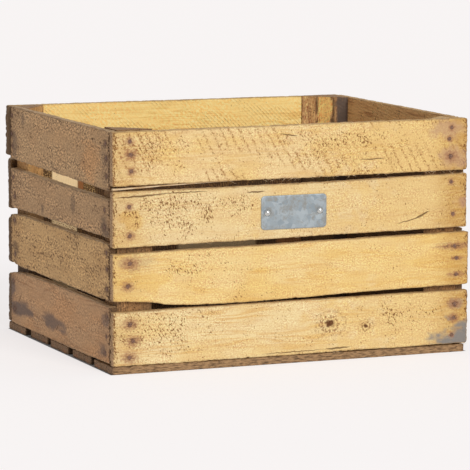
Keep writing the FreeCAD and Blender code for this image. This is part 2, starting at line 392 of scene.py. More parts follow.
class Skin:
    """Points and faces of one board: s along it, h across it, t in from its outer face."""

    def __init__(self, node, wall, step):
        low_corner, high_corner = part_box(node)
        self.wall = wall
        self.low_corner = low_corner
        self.high_corner = high_corner
        self.start = low_corner[wall.along]
        self.length = high_corner[wall.along] - self.start
        self.thick = high_corner[wall.through] - low_corner[wall.through]
        stations = spread(self.length, step, arris) * self.length
        self.low, self.high = long_edges(node, wall, self.start + stations)
        height = float(np.mean(self.high - self.low))
        across = spread(height, step, arris)
        inward = spread(self.thick, step_through, arris)
        self.build(stations, across, inward)

    def build(self, stations, across, inward):
        """Wraps rings of points round the board, with a grid over each end."""
        n_across, n_inward = len(across), len(inward)
        ring = [(i, 0) for i in range(n_across)]
        ring += [(n_across - 1, j) for j in range(1, n_inward - 1)]
        ring += [(i, n_inward - 1) for i in reversed(range(n_across))]
        ring += [(0, j) for j in reversed(range(1, n_inward - 1))]
        ring_across = across[[i for i, j in ring]]
        ring_inward = inward[[j for i, j in ring]]
        around = len(ring)

        s_parts, f_parts, t_parts, row_parts = [], [], [], []
        for row, station in enumerate(stations):
            s_parts.append(np.full(around, station))
            f_parts.append(ring_across)
            t_parts.append(ring_inward * self.thick)
            row_parts.append(np.full(around, row))
        faces = tube_faces(around, len(stations))

        total = around * len(stations)
        place_in_ring = {pair: k for k, pair in enumerate(ring)}
        for row in (0, len(stations) - 1):
            index = {}
            for i in range(n_across):
                for j in range(n_inward):
                    if (i, j) in place_in_ring:
                        index[i, j] = row * around + place_in_ring[i, j]
                    else:
                        index[i, j] = total
                        total += 1
                        s_parts.append([stations[row]])
                        f_parts.append([across[i]])
                        t_parts.append([inward[j] * self.thick])
                        row_parts.append([row])
            for i in range(n_across - 1):
                for j in range(n_inward - 1):
                    quad = (index[i, j], index[i, j + 1], index[i + 1, j + 1], index[i + 1, j])
                    faces.append(quad if row == 0 else quad[::-1])

        self.s = np.concatenate(s_parts)
        self.f = np.concatenate(f_parts)
        self.t = np.concatenate(t_parts)
        self.row = np.concatenate(row_parts).astype(int)
        self.h = self.low[self.row] + self.f * (self.high - self.low)[self.row]
        self.faces = faces
        self.marks = {}

    def flat_places(self):
        """Board coordinates of every point before any wear, in metres."""
        return np.column_stack((self.s, self.h, self.t))

    def object(self, name):
        """The finished piece, in the crate's own frame."""
        wall = self.wall
        places = np.zeros((len(self.s), 3))
        places[:, wall.along] = self.start + self.s
        places[:, wall.rise] = self.h
        if wall.outward < 0:
            places[:, wall.through] = self.low_corner[wall.through] + self.t
        else:
            places[:, wall.through] = self.high_corner[wall.through] - self.t
        # the rings run the other way round on some walls, so their faces are turned over
        axes = Matrix.Identity(3)
        turn = axes[wall.along].cross(axes[wall.rise]).dot(axes[wall.through]) * wall.outward
        faces = self.faces if turn < 0 else [face[::-1] for face in self.faces]
        return new_piece(name, places, faces, self.marks)


print("board skins have an arris of", arris / MM, "mm")

# %% [markdown]
# ### How a board wears
# Wear follows from where a point lies: long edges tear, arrises chip, corners
# round, ends fuzz and faces keep the saw's ridges. A sculpting brush could do
# it by hand, but each rule as a short function does it on every board. First
# every point is told how far it is from its edges, ends and faces.

# %% Where each point of a board lies
def soft_step(low, high, value):
    """A smooth rise from 0 to 1 while value goes from low to high."""
    share = np.clip((value - low) / (high - low), 0, 1)
    return share * share * (3 - 2 * share)


seed_shift = 0.37     # metres from where one board's grain is taken to the next one's


class Reach:
    """How far every point of a board is from its edges, ends and faces, before any wear."""

    def __init__(self, skin, seed):
        self.s = skin.s.copy()
        self.h = skin.h.copy()
        self.low = skin.low[skin.row]
        self.high = skin.high[skin.row]
        to_low, to_high = self.h - self.low, self.high - self.h
        to_outer, to_inner = skin.t, skin.thick - skin.t
        self.to_edge = np.minimum(to_low, to_high)
        self.to_end = np.minimum(self.s, skin.length - self.s)
        self.to_face = np.minimum(to_outer, to_inner)
        self.on_outer = to_outer < to_inner
        self.on_start = self.s < skin.length / 2
        # which way is inwards, from the nearest edge, end and face
        self.edge_in = np.where(to_low < to_high, 1.0, -1.0)
        self.end_in = np.where(self.on_start, 1.0, -1.0)
        self.face_in = np.where(self.on_outer, 1, -1)
        # the second nearest of the three says how close a sharp corner is
        distances = np.column_stack((self.to_edge, self.to_end, self.to_face))
        self.to_corner = np.sort(distances, axis=1)[:, 1]
        self.corner = 1 - soft_step(0.5 * MM, 4 * MM, self.to_corner)
        self.flat = skin.flat_places()
        self.places = self.flat + np.array([0, 0, seed * seed_shift])


print("each board's grain is taken", seed_shift, "m further on")

# %% Wear on edges and corners
# What sawing and years of use did to a plain board. Lengths are in mm.
plain_wear = {
    "tear": 1.0,                      # how badly the saw tore the long edges
    "chip_from": 0.55,                # the level of noise that chips an arris
    "rounded": 2.5,                   # the radius worn on the four corners of the face
    "saw_lean": 12,                   # degrees
    "saw_pitch": 5.0,
    "saw_depth": 1.0,
    "bow": 0.6,                       # outwards, at the middle of its length
    "cup": 0.3,
    "fuzz": 0.8,                      # how deep the fibres are torn at the ends
    "rust_size": 11.5,
    "rust_stretch": (1.2, 1.2),       # along the grain, at the start and at the finish
    "end_tones": (0.5, 0.5),          # how far each end has darkened
    "coarse": 1.0,
    "patches": (),
}


def wander_edges(skin, at, seed, wear):
    """The long edges wander with the grain, and the saw has torn them."""
    wander = 0.45 * noise(at.places, (45, 200, 200), seed + 1)
    wander += 0.28 * wear["tear"] * noise(at.places, (9, 200, 12), seed + 2)
    wander += 0.25 * wear["tear"] * noise(at.places, (3.2, 200, 3), seed + 3)
    hold = 1 - soft_step(0, 6 * MM, at.to_edge)
    hold = hold * soft_step(-0.1 * MM, 3 * MM, at.to_end)
    skin.h += (wander - 0.15) * MM * hold * at.edge_in


def chip_arrises(skin, at, seed, wear):
    """Chips come out of the arrises, deeper where the noise peaks."""
    large = np.clip(noise(at.places, (11, 16, 16), seed + 4) - wear["chip_from"], 0, 1) * 5 * MM
    small = np.clip(noise(at.places, (3.5, 5, 5), seed + 5) - 0.45, 0, 1) * 1.8 * MM
    bite = (large + small * wear["tear"]) * at.corner
    skin.h += bite * at.edge_in * (1 - soft_step(0, 5 * MM, at.to_edge)) * 0.7
    skin.t += bite * at.face_in * (1 - soft_step(0, 5 * MM, at.to_face)) * 0.8


def round_corners(skin, at, seed, wear):
    """Handling rounds the face's four corners, and takes the sharpness off every arris."""
    reach = wear["rounded"] * MM * (1 + 0.5 * noise(at.places, (20, 20, 200), seed + 13))
    from_end = np.maximum(reach - at.to_end, 0)
    from_edge = np.maximum(reach - at.to_edge, 0)
    away = np.maximum(np.hypot(from_end, from_edge), 1e-9)
    worn = np.maximum(away - reach, 0) / away
    skin.h += worn * from_edge * at.edge_in
    skin.s += worn * from_end * at.end_in
    rounding = arris * 0.4 * (1 - soft_step(0, arris, at.to_corner))
    skin.h += rounding * at.edge_in * (at.to_edge < arris)
    skin.t += rounding * at.face_in * (at.to_face < arris)


print("plain wear:", sorted(plain_wear))

# %% Wear on faces and ends
def roughen_faces(skin, at, seed, wear):
    """The faces have the saw's ridges, raised fibres and a slow waviness."""
    lean = math.radians(wear["saw_lean"])
    track = at.s * math.cos(lean) + at.h * math.sin(lean)
    track += 0.8 * MM * noise(at.places, 40, seed + 6)
    ridge = np.abs(np.sin(math.pi * track / (wear["saw_pitch"] * MM))) - 0.6
    ridge *= 0.12 * MM * wear["saw_depth"] * (0.6 + 0.6 * noise(at.places, 60, seed + 7))
    fibre = 0.10 * MM * noise(at.places, (22, 1.8, 50), seed + 8)
    wave = 0.35 * MM * noise(at.places, (90, 45, 500), seed + 9)
    relief = ridge + fibre + wave * soft_step(0, 10 * MM, at.to_edge)
    skin.t += at.face_in * relief * (at.to_face < 1e-9)


def bend_board(skin, at, wear):
    """A board bows outwards along its length, and cups across it as it dries."""
    middle = 1 - (2 * at.s / skin.length - 1) ** 2
    skin.t -= wear["bow"] * MM * middle
    cup = (2 * (at.h - at.low) / (at.high - at.low) - 1) ** 2
    skin.t += wear["cup"] * MM * cup * middle


def fuzz_ends(skin, at, seed, wear):
    """The sawn ends are fuzzy with torn fibres."""
    fuzz = 0.5 * noise(at.places, (400, 2.2, 2.2), seed + 10)
    fuzz += 0.5 * noise(at.places, (400, 5, 6), seed + 11)
    at_end = 1 - soft_step(0, 3 * MM, at.to_end)
    skin.s += at.end_in * at_end * wear["fuzz"] * MM * (0.2 + fuzz)


nail_dimple = 0.55 * MM


def sink_nails(skin, at, heads_here, seed, wear):
    """Dimples the face round each nail, and returns how near each point is to one, for the rust."""
    wall = skin.wall
    rust = np.zeros(len(at.s))
    slack = 5 * MM
    for index, head in enumerate(heads_here):
        nail_s, nail_h = head[wall.along] - skin.start, head[wall.rise]
        if not at.low.min() - slack <= nail_h <= at.high.max() + slack:
            continue
        away = np.hypot(at.s - nail_s, at.h - nail_h)
        dimple = 1 - soft_step(2.6 * MM, 5 * MM, away)
        skin.t += at.on_outer * (at.to_face < 1e-9) * nail_dimple * dimple
        drift = lattice(np.array([[index, seed, 5]]), 3)[0]
        stretch = wear["rust_stretch"][0 if nail_s < skin.length / 2 else 1]
        size = wear["rust_size"] * MM * (1 + 0.3 * drift) / math.sqrt(stretch)
        along = (at.s - nail_s) / (stretch * (1 + 0.25 * drift))
        reach = np.hypot(along, at.h - nail_h) / size
        rust = np.maximum(rust, np.clip(1 - reach, 0, 1) * at.on_outer)
    return rust


print("nails are sunk", nail_dimple / MM, "mm")

# %% Wear on a whole board
def wear_board(skin, heads_here, seed, look):
    """Moves the skin's points as sawing, nailing and years of use would, and marks them."""
    wear = {**plain_wear, **look}
    at = Reach(skin, seed)
    wander_edges(skin, at, seed, wear)
    chip_arrises(skin, at, seed, wear)
    round_corners(skin, at, seed, wear)
    roughen_faces(skin, at, seed, wear)
    bend_board(skin, at, wear)
    fuzz_ends(skin, at, seed, wear)
    skin.marks["rust"] = sink_nails(skin, at, heads_here, seed, wear)
    skin.marks["grain_place"] = at.flat + np.array([seed * seed_shift, 0, 0])
    skin.marks["corner"] = at.corner
    skin.marks["end_grain"] = 1 - soft_step(0.1 * MM, 1.2 * MM, at.to_end)
    skin.marks["edge_grain"] = 1 - soft_step(0.1 * MM, 0.9 * MM, at.to_edge)
    tones = np.where(at.on_start, *wear["end_tones"])
    skin.marks["end_tone"] = tones * (1 - soft_step(12 * MM, 62 * MM, at.to_end))
    skin.marks["ragged_end"] = 1 - soft_step(2 * MM, 9 * MM, at.to_end)
    skin.marks["inside"] = (~at.on_outer).astype(float)
    paint_patches(skin, at, seed, wear)


outer_patches = ("grey_patch", "dark_patch", "warm_patch")
# the first inside patch is painted light: a lit patch on the dark inside
inner_patches = ("painted_light_patch", "red_patch", "speckled_patch")
patch_kinds = outer_patches + inner_patches


def paint_patches(skin, at, seed, wear):
    """Patches: (kind, centre along, centre height, half length, half height, strength).

    Those outside are ragged clouds. Those inside are squarer, with crisp ends.
    """
    place = np.column_stack((at.s, at.h, np.zeros(len(at.s))))
    ragged = 0.35 * noise(place, (14 * wear["coarse"], 12, 14), seed + 20)
    ragged += 0.25 * noise(place, (5 * wear["coarse"], 4, 5), seed + 21)
    for kind in patch_kinds:
        skin.marks[kind] = np.zeros(len(at.s))
    for kind, centre_s, centre_h, half_s, half_h, strength in wear["patches"]:
        along = (at.s + skin.start - centre_s * MM) / (half_s * MM)
        up = (at.h - centre_h * MM) / (half_h * MM)
        if kind in outer_patches:
            cover = (1 - soft_step(0.45, 1.15, np.hypot(along, up) + ragged)) * at.on_outer
        else:
            square = np.maximum(np.abs(along), np.abs(up) + 0.15 * ragged)
            cover = (1 - soft_step(0.94, 1.04, square)) * ~at.on_outer
        skin.marks[kind] = np.maximum(skin.marks[kind], cover * strength)


print("patch kinds:", patch_kinds)

# %% [markdown]
# ## Laying out a finish
# The colours are worked out by shader nodes, from each point's place in its
# own board, so the grain runs along every board whichever way it was nailed.
# Nodes could be wired one line at a time, but a few short calls keep each
# finish readable. What several finishes share is a node group.

# %% Short calls for shader nodes
class Sketch:
    """Short calls that add nodes to one tree and wire them."""

    def __init__(self, tree):
        self.tree = tree

    def node(self, kind, **settings):
        made = self.tree.nodes.new(kind)
        for name, value in settings.items():
            setattr(made, name, value)
        return made

    def feed(self, socket, value):
        if isinstance(value, bpy.types.NodeSocket):
            self.tree.links.new(value, socket)
        elif value is not None:
            socket.default_value = value

    def math(self, operation, a, b=None):
        made = self.node("ShaderNodeMath", operation=operation)
        self.feed(made.inputs[0], a)
        self.feed(made.inputs[1], b)
        return made.outputs[0]

    def times(self, a, b):
        return self.math("MULTIPLY", a, b)

    def plus(self, a, b):
        return self.math("ADD", a, b)

    def minus(self, a, b):
        return self.math("SUBTRACT", a, b)

    def either(self, a, b):
        return self.math("MAXIMUM", a, b)

    def swing(self, value, size):
        """A value from 0 to 1, turned into a swing about 0."""
        return self.times(self.minus(value, 0.5), size)

    def step(self, value, low, high, to_low=0.0, to_high=1.0):
        """A smooth rise from to_low to to_high while value goes from low to high."""
        made = self.node("ShaderNodeMapRange", interpolation_type="SMOOTHSTEP")
        for socket, given in zip(made.inputs, (value, low, high, to_low, to_high)):
            self.feed(socket, given)
        return made.outputs[0]

    def scale(self, place, factors):
        made = self.node("ShaderNodeVectorMath", operation="MULTIPLY")
        self.feed(made.inputs[0], place)
        self.feed(made.inputs[1], factors)
        return made.outputs[0]

    def offset(self, place, origin):
        """A place as measured from another."""
        made = self.node("ShaderNodeVectorMath", operation="SUBTRACT")
        self.feed(made.inputs[0], place)
        self.feed(made.inputs[1], origin)
        return made.outputs[0]

    def turn(self, place, angle):
        """Turns a place about the board's face, by an angle in radians."""
        made = self.node("ShaderNodeVectorRotate", rotation_type="Z_AXIS")
        self.feed(made.inputs["Vector"], place)
        self.feed(made.inputs["Angle"], angle)
        return made.outputs[0]

    def parts(self, place):
        made = self.node("ShaderNodeSeparateXYZ")
        self.feed(made.inputs[0], place)
        return made.outputs

    def lumps(self, place, sizes, detail=2.0, rough=0.5):
        """Noise from 0 to 1 with lumps of the given sizes in mm: along, across, through."""
        factors = [1 / (size * MM) for size in sizes]
        made = self.node("ShaderNodeTexNoise", noise_dimensions="3D")
        self.feed(made.inputs["Vector"], self.scale(place, factors))
        made.inputs["Scale"].default_value = 1.0
        made.inputs["Detail"].default_value = detail
        made.inputs["Roughness"].default_value = rough
        return made.outputs[0]

    def mix(self, share, a, b, blend="MIX"):
        """Colour a with colour b laid over it, by a share from 0 to 1."""
        made = self.node("ShaderNodeMix", data_type="RGBA", blend_type=blend)
        self.feed(made.inputs[0], share)
        self.feed(made.inputs[6], a)
        self.feed(made.inputs[7], b)
        return made.outputs[2]

    def bump(self, height, strength, distance):
        """A normal for the shader, from a height of 0 to 1 and the depth it stands for."""
        made = self.node("ShaderNodeBump")
        made.inputs["Strength"].default_value = strength
        made.inputs["Distance"].default_value = distance
        self.feed(made.inputs["Height"], height)
        return made.outputs["Normal"]

    def mark(self, name, output="Fac"):
        return self.node("ShaderNodeAttribute", attribute_name=name).outputs[output]

    def group(self, tree, **given):
        """Places a node group; its named inputs are given with _ for spaces."""
        made = self.node("ShaderNodeGroup", node_tree=tree)
        for name, value in given.items():
            self.feed(made.inputs[name.replace("_", " ")], value)
        return made.outputs


socket_kinds = {"value": "NodeSocketFloat", "place": "NodeSocketVector", "colour": "NodeSocketColor"}


def new_group(name, inputs, outputs):
    """An empty node group with named sockets: (tree, sketch, its inputs, its result node)."""
    tree = bpy.data.node_groups.new(name, "ShaderNodeTree")
    for title, kind in inputs:
        tree.interface.new_socket(title, in_out="INPUT", socket_type=socket_kinds[kind])
    for title, kind in outputs:
        tree.interface.new_socket(title, in_out="OUTPUT", socket_type=socket_kinds[kind])
    sketch = Sketch(tree)
    given = sketch.node("NodeGroupInput").outputs
    result = sketch.node("NodeGroupOutput").inputs
    return tree, sketch, given, result


def new_finish(name):
    """A new material, ready to lay out: (material, its shader's inputs, its sketch)."""
    material = bpy.data.materials.new(name)
    material.use_nodes = True
    shader = material.node_tree.nodes["Principled BSDF"]
    return material, shader.inputs, Sketch(material.node_tree)


print("socket kinds:", sorted(socket_kinds))

# %% [markdown]
# ### Grain
# Softwood has broad pale bands of spring growth between thin darker lines of
# summer growth. A slat is sawn along the trunk, so the lines run lengthwise
# and wander slowly. A stripe pattern bent by long noise gives them, and noise
# stretched a hundredfold along the board gives the fine fibres.

# %% Grain group
def make_grain_group():
    tree, sketch, given, result = new_group(
        "softwood_grain",
        [("Place", "place"), ("Spring", "colour"), ("Summer", "colour"),
         ("Bands", "value"), ("Fibres", "value")],
        [("Colour", "colour"), ("Height", "value")],
    )
    place = given["Place"]
    slow = sketch.lumps(place, (160, 16, 40), detail=3)
    across = sketch.plus(sketch.parts(place)[1], sketch.times(slow, 0.055))
    stripes = sketch.math("SINE", sketch.times(across, 2 * math.pi / (7.5 * MM)))
    line = sketch.step(stripes, -0.2, 1.0)
    patchy = sketch.step(sketch.lumps(place, (120, 22, 30)), 0.42, 0.62)
    line = sketch.times(line, patchy)
    fibre = sketch.lumps(place, (26, 0.9, 1.2), detail=3, rough=0.6)
    streak = sketch.lumps(place, (70, 3.0, 4), detail=2)
    share = sketch.times(line, given["Bands"])
    share = sketch.plus(share, sketch.times(sketch.step(fibre, 0.45, 0.75), given["Fibres"]))
    share = sketch.plus(share, sketch.times(sketch.step(streak, 0.5, 0.8), given["Fibres"]))
    sketch.feed(result["Colour"], sketch.mix(share, given["Spring"], given["Summer"]))
    sketch.feed(result["Height"], sketch.plus(fibre, sketch.times(line, 0.4)))
    return tree


grain_group = make_grain_group()
print("made", grain_group.name)

# %% [markdown]
# ### Saw tracks
# A big saw leaves a row of shallow scratches across the board, at whatever
# lean the board went through it. Dirt settles in them. The lines come and go,
# because the blade wandered, so a second slow noise fades them in patches.

# %% Saw track group
def make_track_group():
    tree, sketch, given, result = new_group(
        "saw_tracks",
        [("Place", "place"), ("Pitch", "value"), ("Lean", "value"), ("Wobble", "value"),
         ("Broken", "value")],
        [("Mask", "value"), ("Height", "value")],
    )
    place = given["Place"]
    wobble = sketch.times(sketch.lumps(place, (24, 24, 24), detail=3), given["Wobble"])
    along = sketch.parts(sketch.turn(place, given["Lean"]))[0]
    count = sketch.math("DIVIDE", sketch.plus(along, wobble), given["Pitch"])
    wave = sketch.math("SINE", sketch.times(count, 2 * math.pi))
    broken = sketch.lumps(place, (3, 3, 3), detail=4, rough=0.62)
    broken = sketch.swing(broken, sketch.times(given["Broken"], 3))
    groove = sketch.step(sketch.plus(sketch.times(wave, 0.5), broken), 0.2, 0.9)
    patch = sketch.step(sketch.lumps(place, (70, 40, 40), detail=1), 0.4, 0.6)
    sketch.feed(result["Mask"], sketch.times(groove, patch))
    sketch.feed(result["Height"], sketch.times(sketch.step(wave, -1, 1), patch))
    return tree


track_group = make_track_group()
print("made", track_group.name)

# %% [markdown]
# ### Flecks
# Where the teeth tore the fibres, small dark flecks are left: short, broken
# and in crowds. They are peaks of a fine noise, stretched along a lean, and a
# coarser noise gathers them. Dirt spreads a little round each, as a halo.

# %% Fleck group
def make_fleck_group():
    tree, sketch, given, result = new_group(
        "torn_flecks",
        [("Place", "place"), ("Amount", "value"), ("Lean", "value")],
        [("Mask", "value"), ("Halo", "value")],
    )
    place = given["Place"]
    leaning = sketch.turn(place, given["Lean"])
    fine = sketch.lumps(leaning, (2.0, 3.8, 3), detail=4, rough=0.62)
    rows = sketch.lumps(leaning, (7, 44, 20), detail=2)
    crowd = sketch.lumps(place, (30, 20, 30), detail=4, rough=0.62)
    crowding = sketch.plus(sketch.times(crowd, 0.40), sketch.times(rows, 0.20))
    level = sketch.plus(fine, crowding)
    edge = sketch.minus(1.02, sketch.times(given["Amount"], 0.16))
    full = sketch.plus(edge, 0.10)
    sketch.feed(result["Mask"], sketch.step(level, edge, full))
    sketch.feed(result["Halo"], sketch.step(level, sketch.plus(edge, -0.06), full))
    return tree


fleck_group = make_fleck_group()
print("made", fleck_group.name)

# %% [markdown]
# ### Rust, dirt and worn corners
# A nail weeps rust into the wood: a purple-brown cloud that is darkest at the
# head. The board already carries how near each point is to a nail, so the
# group only makes that cloud ragged. A second group makes the dirty corners
# from how near a point is to a sharp edge.

# %% Rust and corner groups
def make_rust_group():
    tree, sketch, given, result = new_group(
        "nail_rust",
        [("Place", "place"), ("Nearness", "value")],
        [("Cloud", "value"), ("Core", "value")],
    )
    place = given["Place"]
    ragged = sketch.lumps(place, (4.0, 2.6, 3), detail=4, rough=0.68)
    level = sketch.plus(given["Nearness"], sketch.swing(ragged, 1.7))
    present = sketch.step(given["Nearness"], 0.0, 0.2)
    sketch.feed(result["Cloud"], sketch.times(sketch.step(level, 0.15, 0.7), present))
    sketch.feed(result["Core"], sketch.times(sketch.step(level, 0.6, 1.0), present))
    return tree


def make_corner_group():
    tree, sketch, given, result = new_group(
        "worn_corners",
        [("Place", "place"), ("Corner", "value")],
        [("Dirt", "value")],
    )
    place = given["Place"]
    broken = sketch.lumps(place, (7, 2.5, 2.5), detail=4, rough=0.6)
    level = sketch.plus(given["Corner"], sketch.swing(broken, 1.6))
    present = sketch.step(given["Corner"], 0.02, 0.2)
    sketch.feed(result["Dirt"], sketch.times(sketch.step(level, 0.55, 1.1), present))
    return tree


rust_group = make_rust_group()
corner_group = make_corner_group()
print("made", rust_group.name, "and", corner_group.name)

# %% [markdown]
# ### Knots and splits
# A knot is a branch sawn through: rings round a dark eye, with the grain
# bending past it. A split is a crack that runs nearly along the grain and
# closes to a point at both ends. Both are worked out from the distance to a
# named place on the board.

# %% Knot and split groups
def make_knot_group():
    tree, sketch, given, result = new_group(
        "knot",
        [("Place", "place"), ("Centre", "place"), ("Radius", "value")],
        [("Eye", "value"), ("Rings", "value")],
    )
    flat = sketch.scale(given["Place"], (1, 1, 0))
    bend = sketch.lumps(flat, (9, 9, 9), detail=3, rough=0.6)
    offset = sketch.scale(sketch.offset(flat, given["Centre"]), (0.8, 1.0, 0))
    length = sketch.node("ShaderNodeVectorMath", operation="LENGTH")
    sketch.feed(length.inputs[0], offset)
    away = sketch.math("DIVIDE", length.outputs["Value"], given["Radius"])
    away = sketch.plus(away, sketch.swing(bend, 0.9))
    sketch.feed(result["Eye"], sketch.step(away, 0.42, 0.12))
    ring = sketch.math("SINE", sketch.times(away, 13.0))
    inside = sketch.step(away, 1.3, 0.75)
    broken = sketch.lumps(given["Place"], (2.6, 2.6, 2.6), detail=2)
    ring = sketch.plus(sketch.times(ring, 0.12), broken)
    ring = sketch.step(ring, 0.49, 0.64)
    sketch.feed(result["Rings"], sketch.times(ring, inside))
    return tree


def make_split_group():
    tree, sketch, given, result = new_group(
        "split",
        [("Place", "place"), ("Start", "place"), ("Slope", "value"), ("Length", "value"),
         ("Width", "value")],
        [("Mask", "value")],
    )
    along, up, _ = sketch.parts(sketch.offset(given["Place"], given["Start"]))
    wobble = sketch.swing(sketch.lumps(given["Place"], (9, 60, 60), detail=3), 3.0 * MM)
    line = sketch.plus(sketch.times(along, given["Slope"]), wobble)
    off = sketch.math("ABSOLUTE", sketch.minus(up, line))
    share = sketch.math("DIVIDE", along, given["Length"])
    open_share = sketch.times(share, sketch.minus(1.0, share))
    width = sketch.times(sketch.either(open_share, 0.0), sketch.times(given["Width"], 4.0))
    inner = sketch.times(width, 0.3)
    outer = sketch.plus(width, 0.01 * MM)
    sketch.feed(result["Mask"], sketch.step(off, outer, inner))
    return tree


knot_group = make_knot_group()
split_group = make_split_group()
print("made", knot_group.name, "and", split_group.name)

# %% [markdown]
# ### The timber finish
# Every board is the same wood with a different life, so the same layers are
# laid in the order they came: grain, the saw's nap, the tree's knots, tracks
# and flecks, then weather with painted shade and light, dirt, splits and rust.
# Each layer is a short function that adds to the colour and to the bump height,
# and each board passes its own colours and amounts.

# %% A plain look
# Colours are as on a paint chart, sizes in mm, leans in radians, and shares from 0 to 1.
plain_look = {
    "spring": (230, 198, 138), "summer": (205, 152, 82), "bands": 0.45, "fibres": 0.30,
    "inner_spring": None,
    "warm": (222, 168, 84), "warm_share": 0.4,
    "nap": 0.45, "nap_size": (2.4, 1.9, 2), "coarse": 1.0,
    "knots": (),
    "track": (150, 104, 56), "tracks": 0.4, "track_pitch": 5.0, "track_lean": -0.3,
    "hatch": None, "hatch_share": 0.6, "hatch_pitch": 2.8, "hatch_lean": -0.75,
    "fleck": (108, 70, 34), "halo": (186, 140, 82), "flecks": 0.6, "more_flecks": 0.0,
    "fleck_lean": -0.5, "end_flecks": 0.9,
    "grey": (140, 126, 112), "pale": (255, 226, 176), "speckle": (176, 142, 92),
    "brown": (150, 98, 56), "end_tint": (222, 204, 172),
    "dirt": (92, 66, 42), "dirt_share": 0.35,
    "edge": (204, 168, 116), "edge_dark": (138, 104, 68), "edge_streak": (30, 3, 3),
    "end": (176, 142, 106), "end_dark": (84, 58, 38),
    "splits": (),
    "rust_cloud": (152, 106, 76), "rust_core": (82, 52, 38),
    "bump": 0.55, "roughness": 0.78,
}
knot_ring = tone(124, 76, 40)
knot_eye = tone(88, 52, 24)
split_dark = tone(92, 62, 30)
# the colour of the painted shade inside the crate, also used for the posts' dark seams
deep_shade = tone(50, 33, 20)
print("a plain look names", len(plain_look), "things")


# %% A finish in the making
class Finish:
    """A board's finish as it is laid, with its colour and its bump height so far."""

    def __init__(self, name, look, seed):
        self.look = {**plain_look, **look}
        self.seed = seed
        self.material, self.shader, self.sketch = new_finish(name)
        self.place = self.sketch.mark("grain_place", "Vector")
        self.near = self.sketch.scale(self.place, (1 / self.look["coarse"], 1, 1))
        self.inside = self.sketch.mark("inside")
        self.outside = self.sketch.minus(1.0, self.inside)
        self.colour = None
        self.height = None
        self.flecks = None

    def at(self, along, up):
        """A place on this board, from a place in the crate (mm)."""
        return ((along - self.look["start"]) * MM + self.seed * seed_shift, up * MM, 0)

    def lay(self, share, colour, blend="MIX"):
        """Lays a colour over what is there. A name means the look's own colour."""
        if isinstance(colour, str):
            colour = tone(*self.look[colour])
        self.colour = self.sketch.mix(share, self.colour, colour, blend)

    def raise_by(self, amount):
        """Makes the surface stand proud."""
        self.height = self.sketch.plus(self.height, amount)

    def sink_by(self, amount):
        """Makes the surface dip."""
        self.height = self.sketch.minus(self.height, amount)


print("a finish starts from a sketch and a look")


# %% Layers that grew
def grown(finish, spring, summer):
    """The grain in two of the look's colours."""
    look = finish.look
    return finish.sketch.group(grain_group, Place=finish.place, Spring=tone(*look[spring]),
                               Summer=tone(*look[summer]), Bands=look["bands"],
                               Fibres=look["fibres"])


def lay_grain(finish):
    """The grain, with broad warm clouds, and colours of its own inside."""
    sketch, look = finish.sketch, finish.look
    grain = grown(finish, "spring", "summer")
    finish.colour = grain["Colour"]
    finish.height = sketch.times(grain["Height"], 0.35)
    cloud = sketch.lumps(finish.place, (95, 38, 40), detail=2)
    warm = sketch.times(sketch.step(cloud, 0.42, 0.66), look["warm_share"])
    finish.lay(sketch.either(warm, sketch.mark("warm_patch")), "warm")
    if look["inner_spring"]:
        finish.lay(finish.inside, grown(finish, "inner_spring", "inner_summer")["Colour"])
    drift = sketch.lumps(finish.place, (40, 12, 20), detail=4, rough=0.6)
    drift_tint = sketch.mix(drift, tone(120, 120, 120), tone(255, 255, 255))
    finish.lay(0.22, drift_tint, "OVERLAY")


def lay_knots(finish):
    """Knots on the outer face, dark at the eye and standing a little proud."""
    sketch = finish.sketch
    for centre_s, centre_h, radius in finish.look["knots"]:
        knot = sketch.group(knot_group, Place=finish.place, Centre=finish.at(centre_s, centre_h),
                            Radius=radius * MM)
        rings = sketch.times(knot["Rings"], finish.outside)
        finish.lay(sketch.times(rings, 0.7), knot_ring)
        finish.lay(sketch.times(knot["Eye"], finish.outside), knot_eye)
        finish.raise_by(sketch.times(rings, 0.2))


print("grain and knots are ready")


# %% Layers from the saw
def lay_nap(finish):
    """The fine nap of a sawn face, which is roughest in patches."""
    sketch, look = finish.sketch, finish.look
    leaning = sketch.turn(finish.near, look["track_lean"])
    nap = sketch.lumps(leaning, look["nap_size"], detail=4, rough=0.66)
    nap_tint = sketch.mix(sketch.step(nap, 0.34, 0.66), tone(104, 104, 104), tone(240, 240, 240))
    rougher = sketch.lumps(finish.near, (46, 24, 30), detail=3, rough=0.6)
    rougher = sketch.either(sketch.step(rougher, 0.40, 0.62, 0.35, 1.0), sketch.mark("dark_patch"))
    finish.lay(sketch.times(rougher, look["nap"]), nap_tint, "OVERLAY")
    finish.raise_by(sketch.times(nap, look["nap"]))


def lay_saw_tracks(finish):
    """Tracks on the outer face, and finer hatching inside."""
    sketch, look = finish.sketch, finish.look
    tracks = sketch.group(track_group, Place=finish.place, Pitch=look["track_pitch"] * MM,
                          Lean=look["track_lean"], Wobble=9 * MM, Broken=1.0)
    share = sketch.times(tracks["Mask"], look["tracks"])
    finish.lay(sketch.times(share, finish.outside), "track")
    finish.raise_by(sketch.times(tracks["Height"], 0.5 * look["tracks"]))
    if look["hatch"]:
        hatch = sketch.group(track_group, Place=finish.place, Pitch=look["hatch_pitch"] * MM,
                             Lean=look["hatch_lean"], Wobble=3 * MM, Broken=0.45)
        share = sketch.times(hatch["Mask"], look["hatch_share"])
        finish.lay(sketch.times(share, finish.inside), "hatch")
        finish.raise_by(sketch.times(sketch.times(hatch["Height"], finish.inside), 0.4))


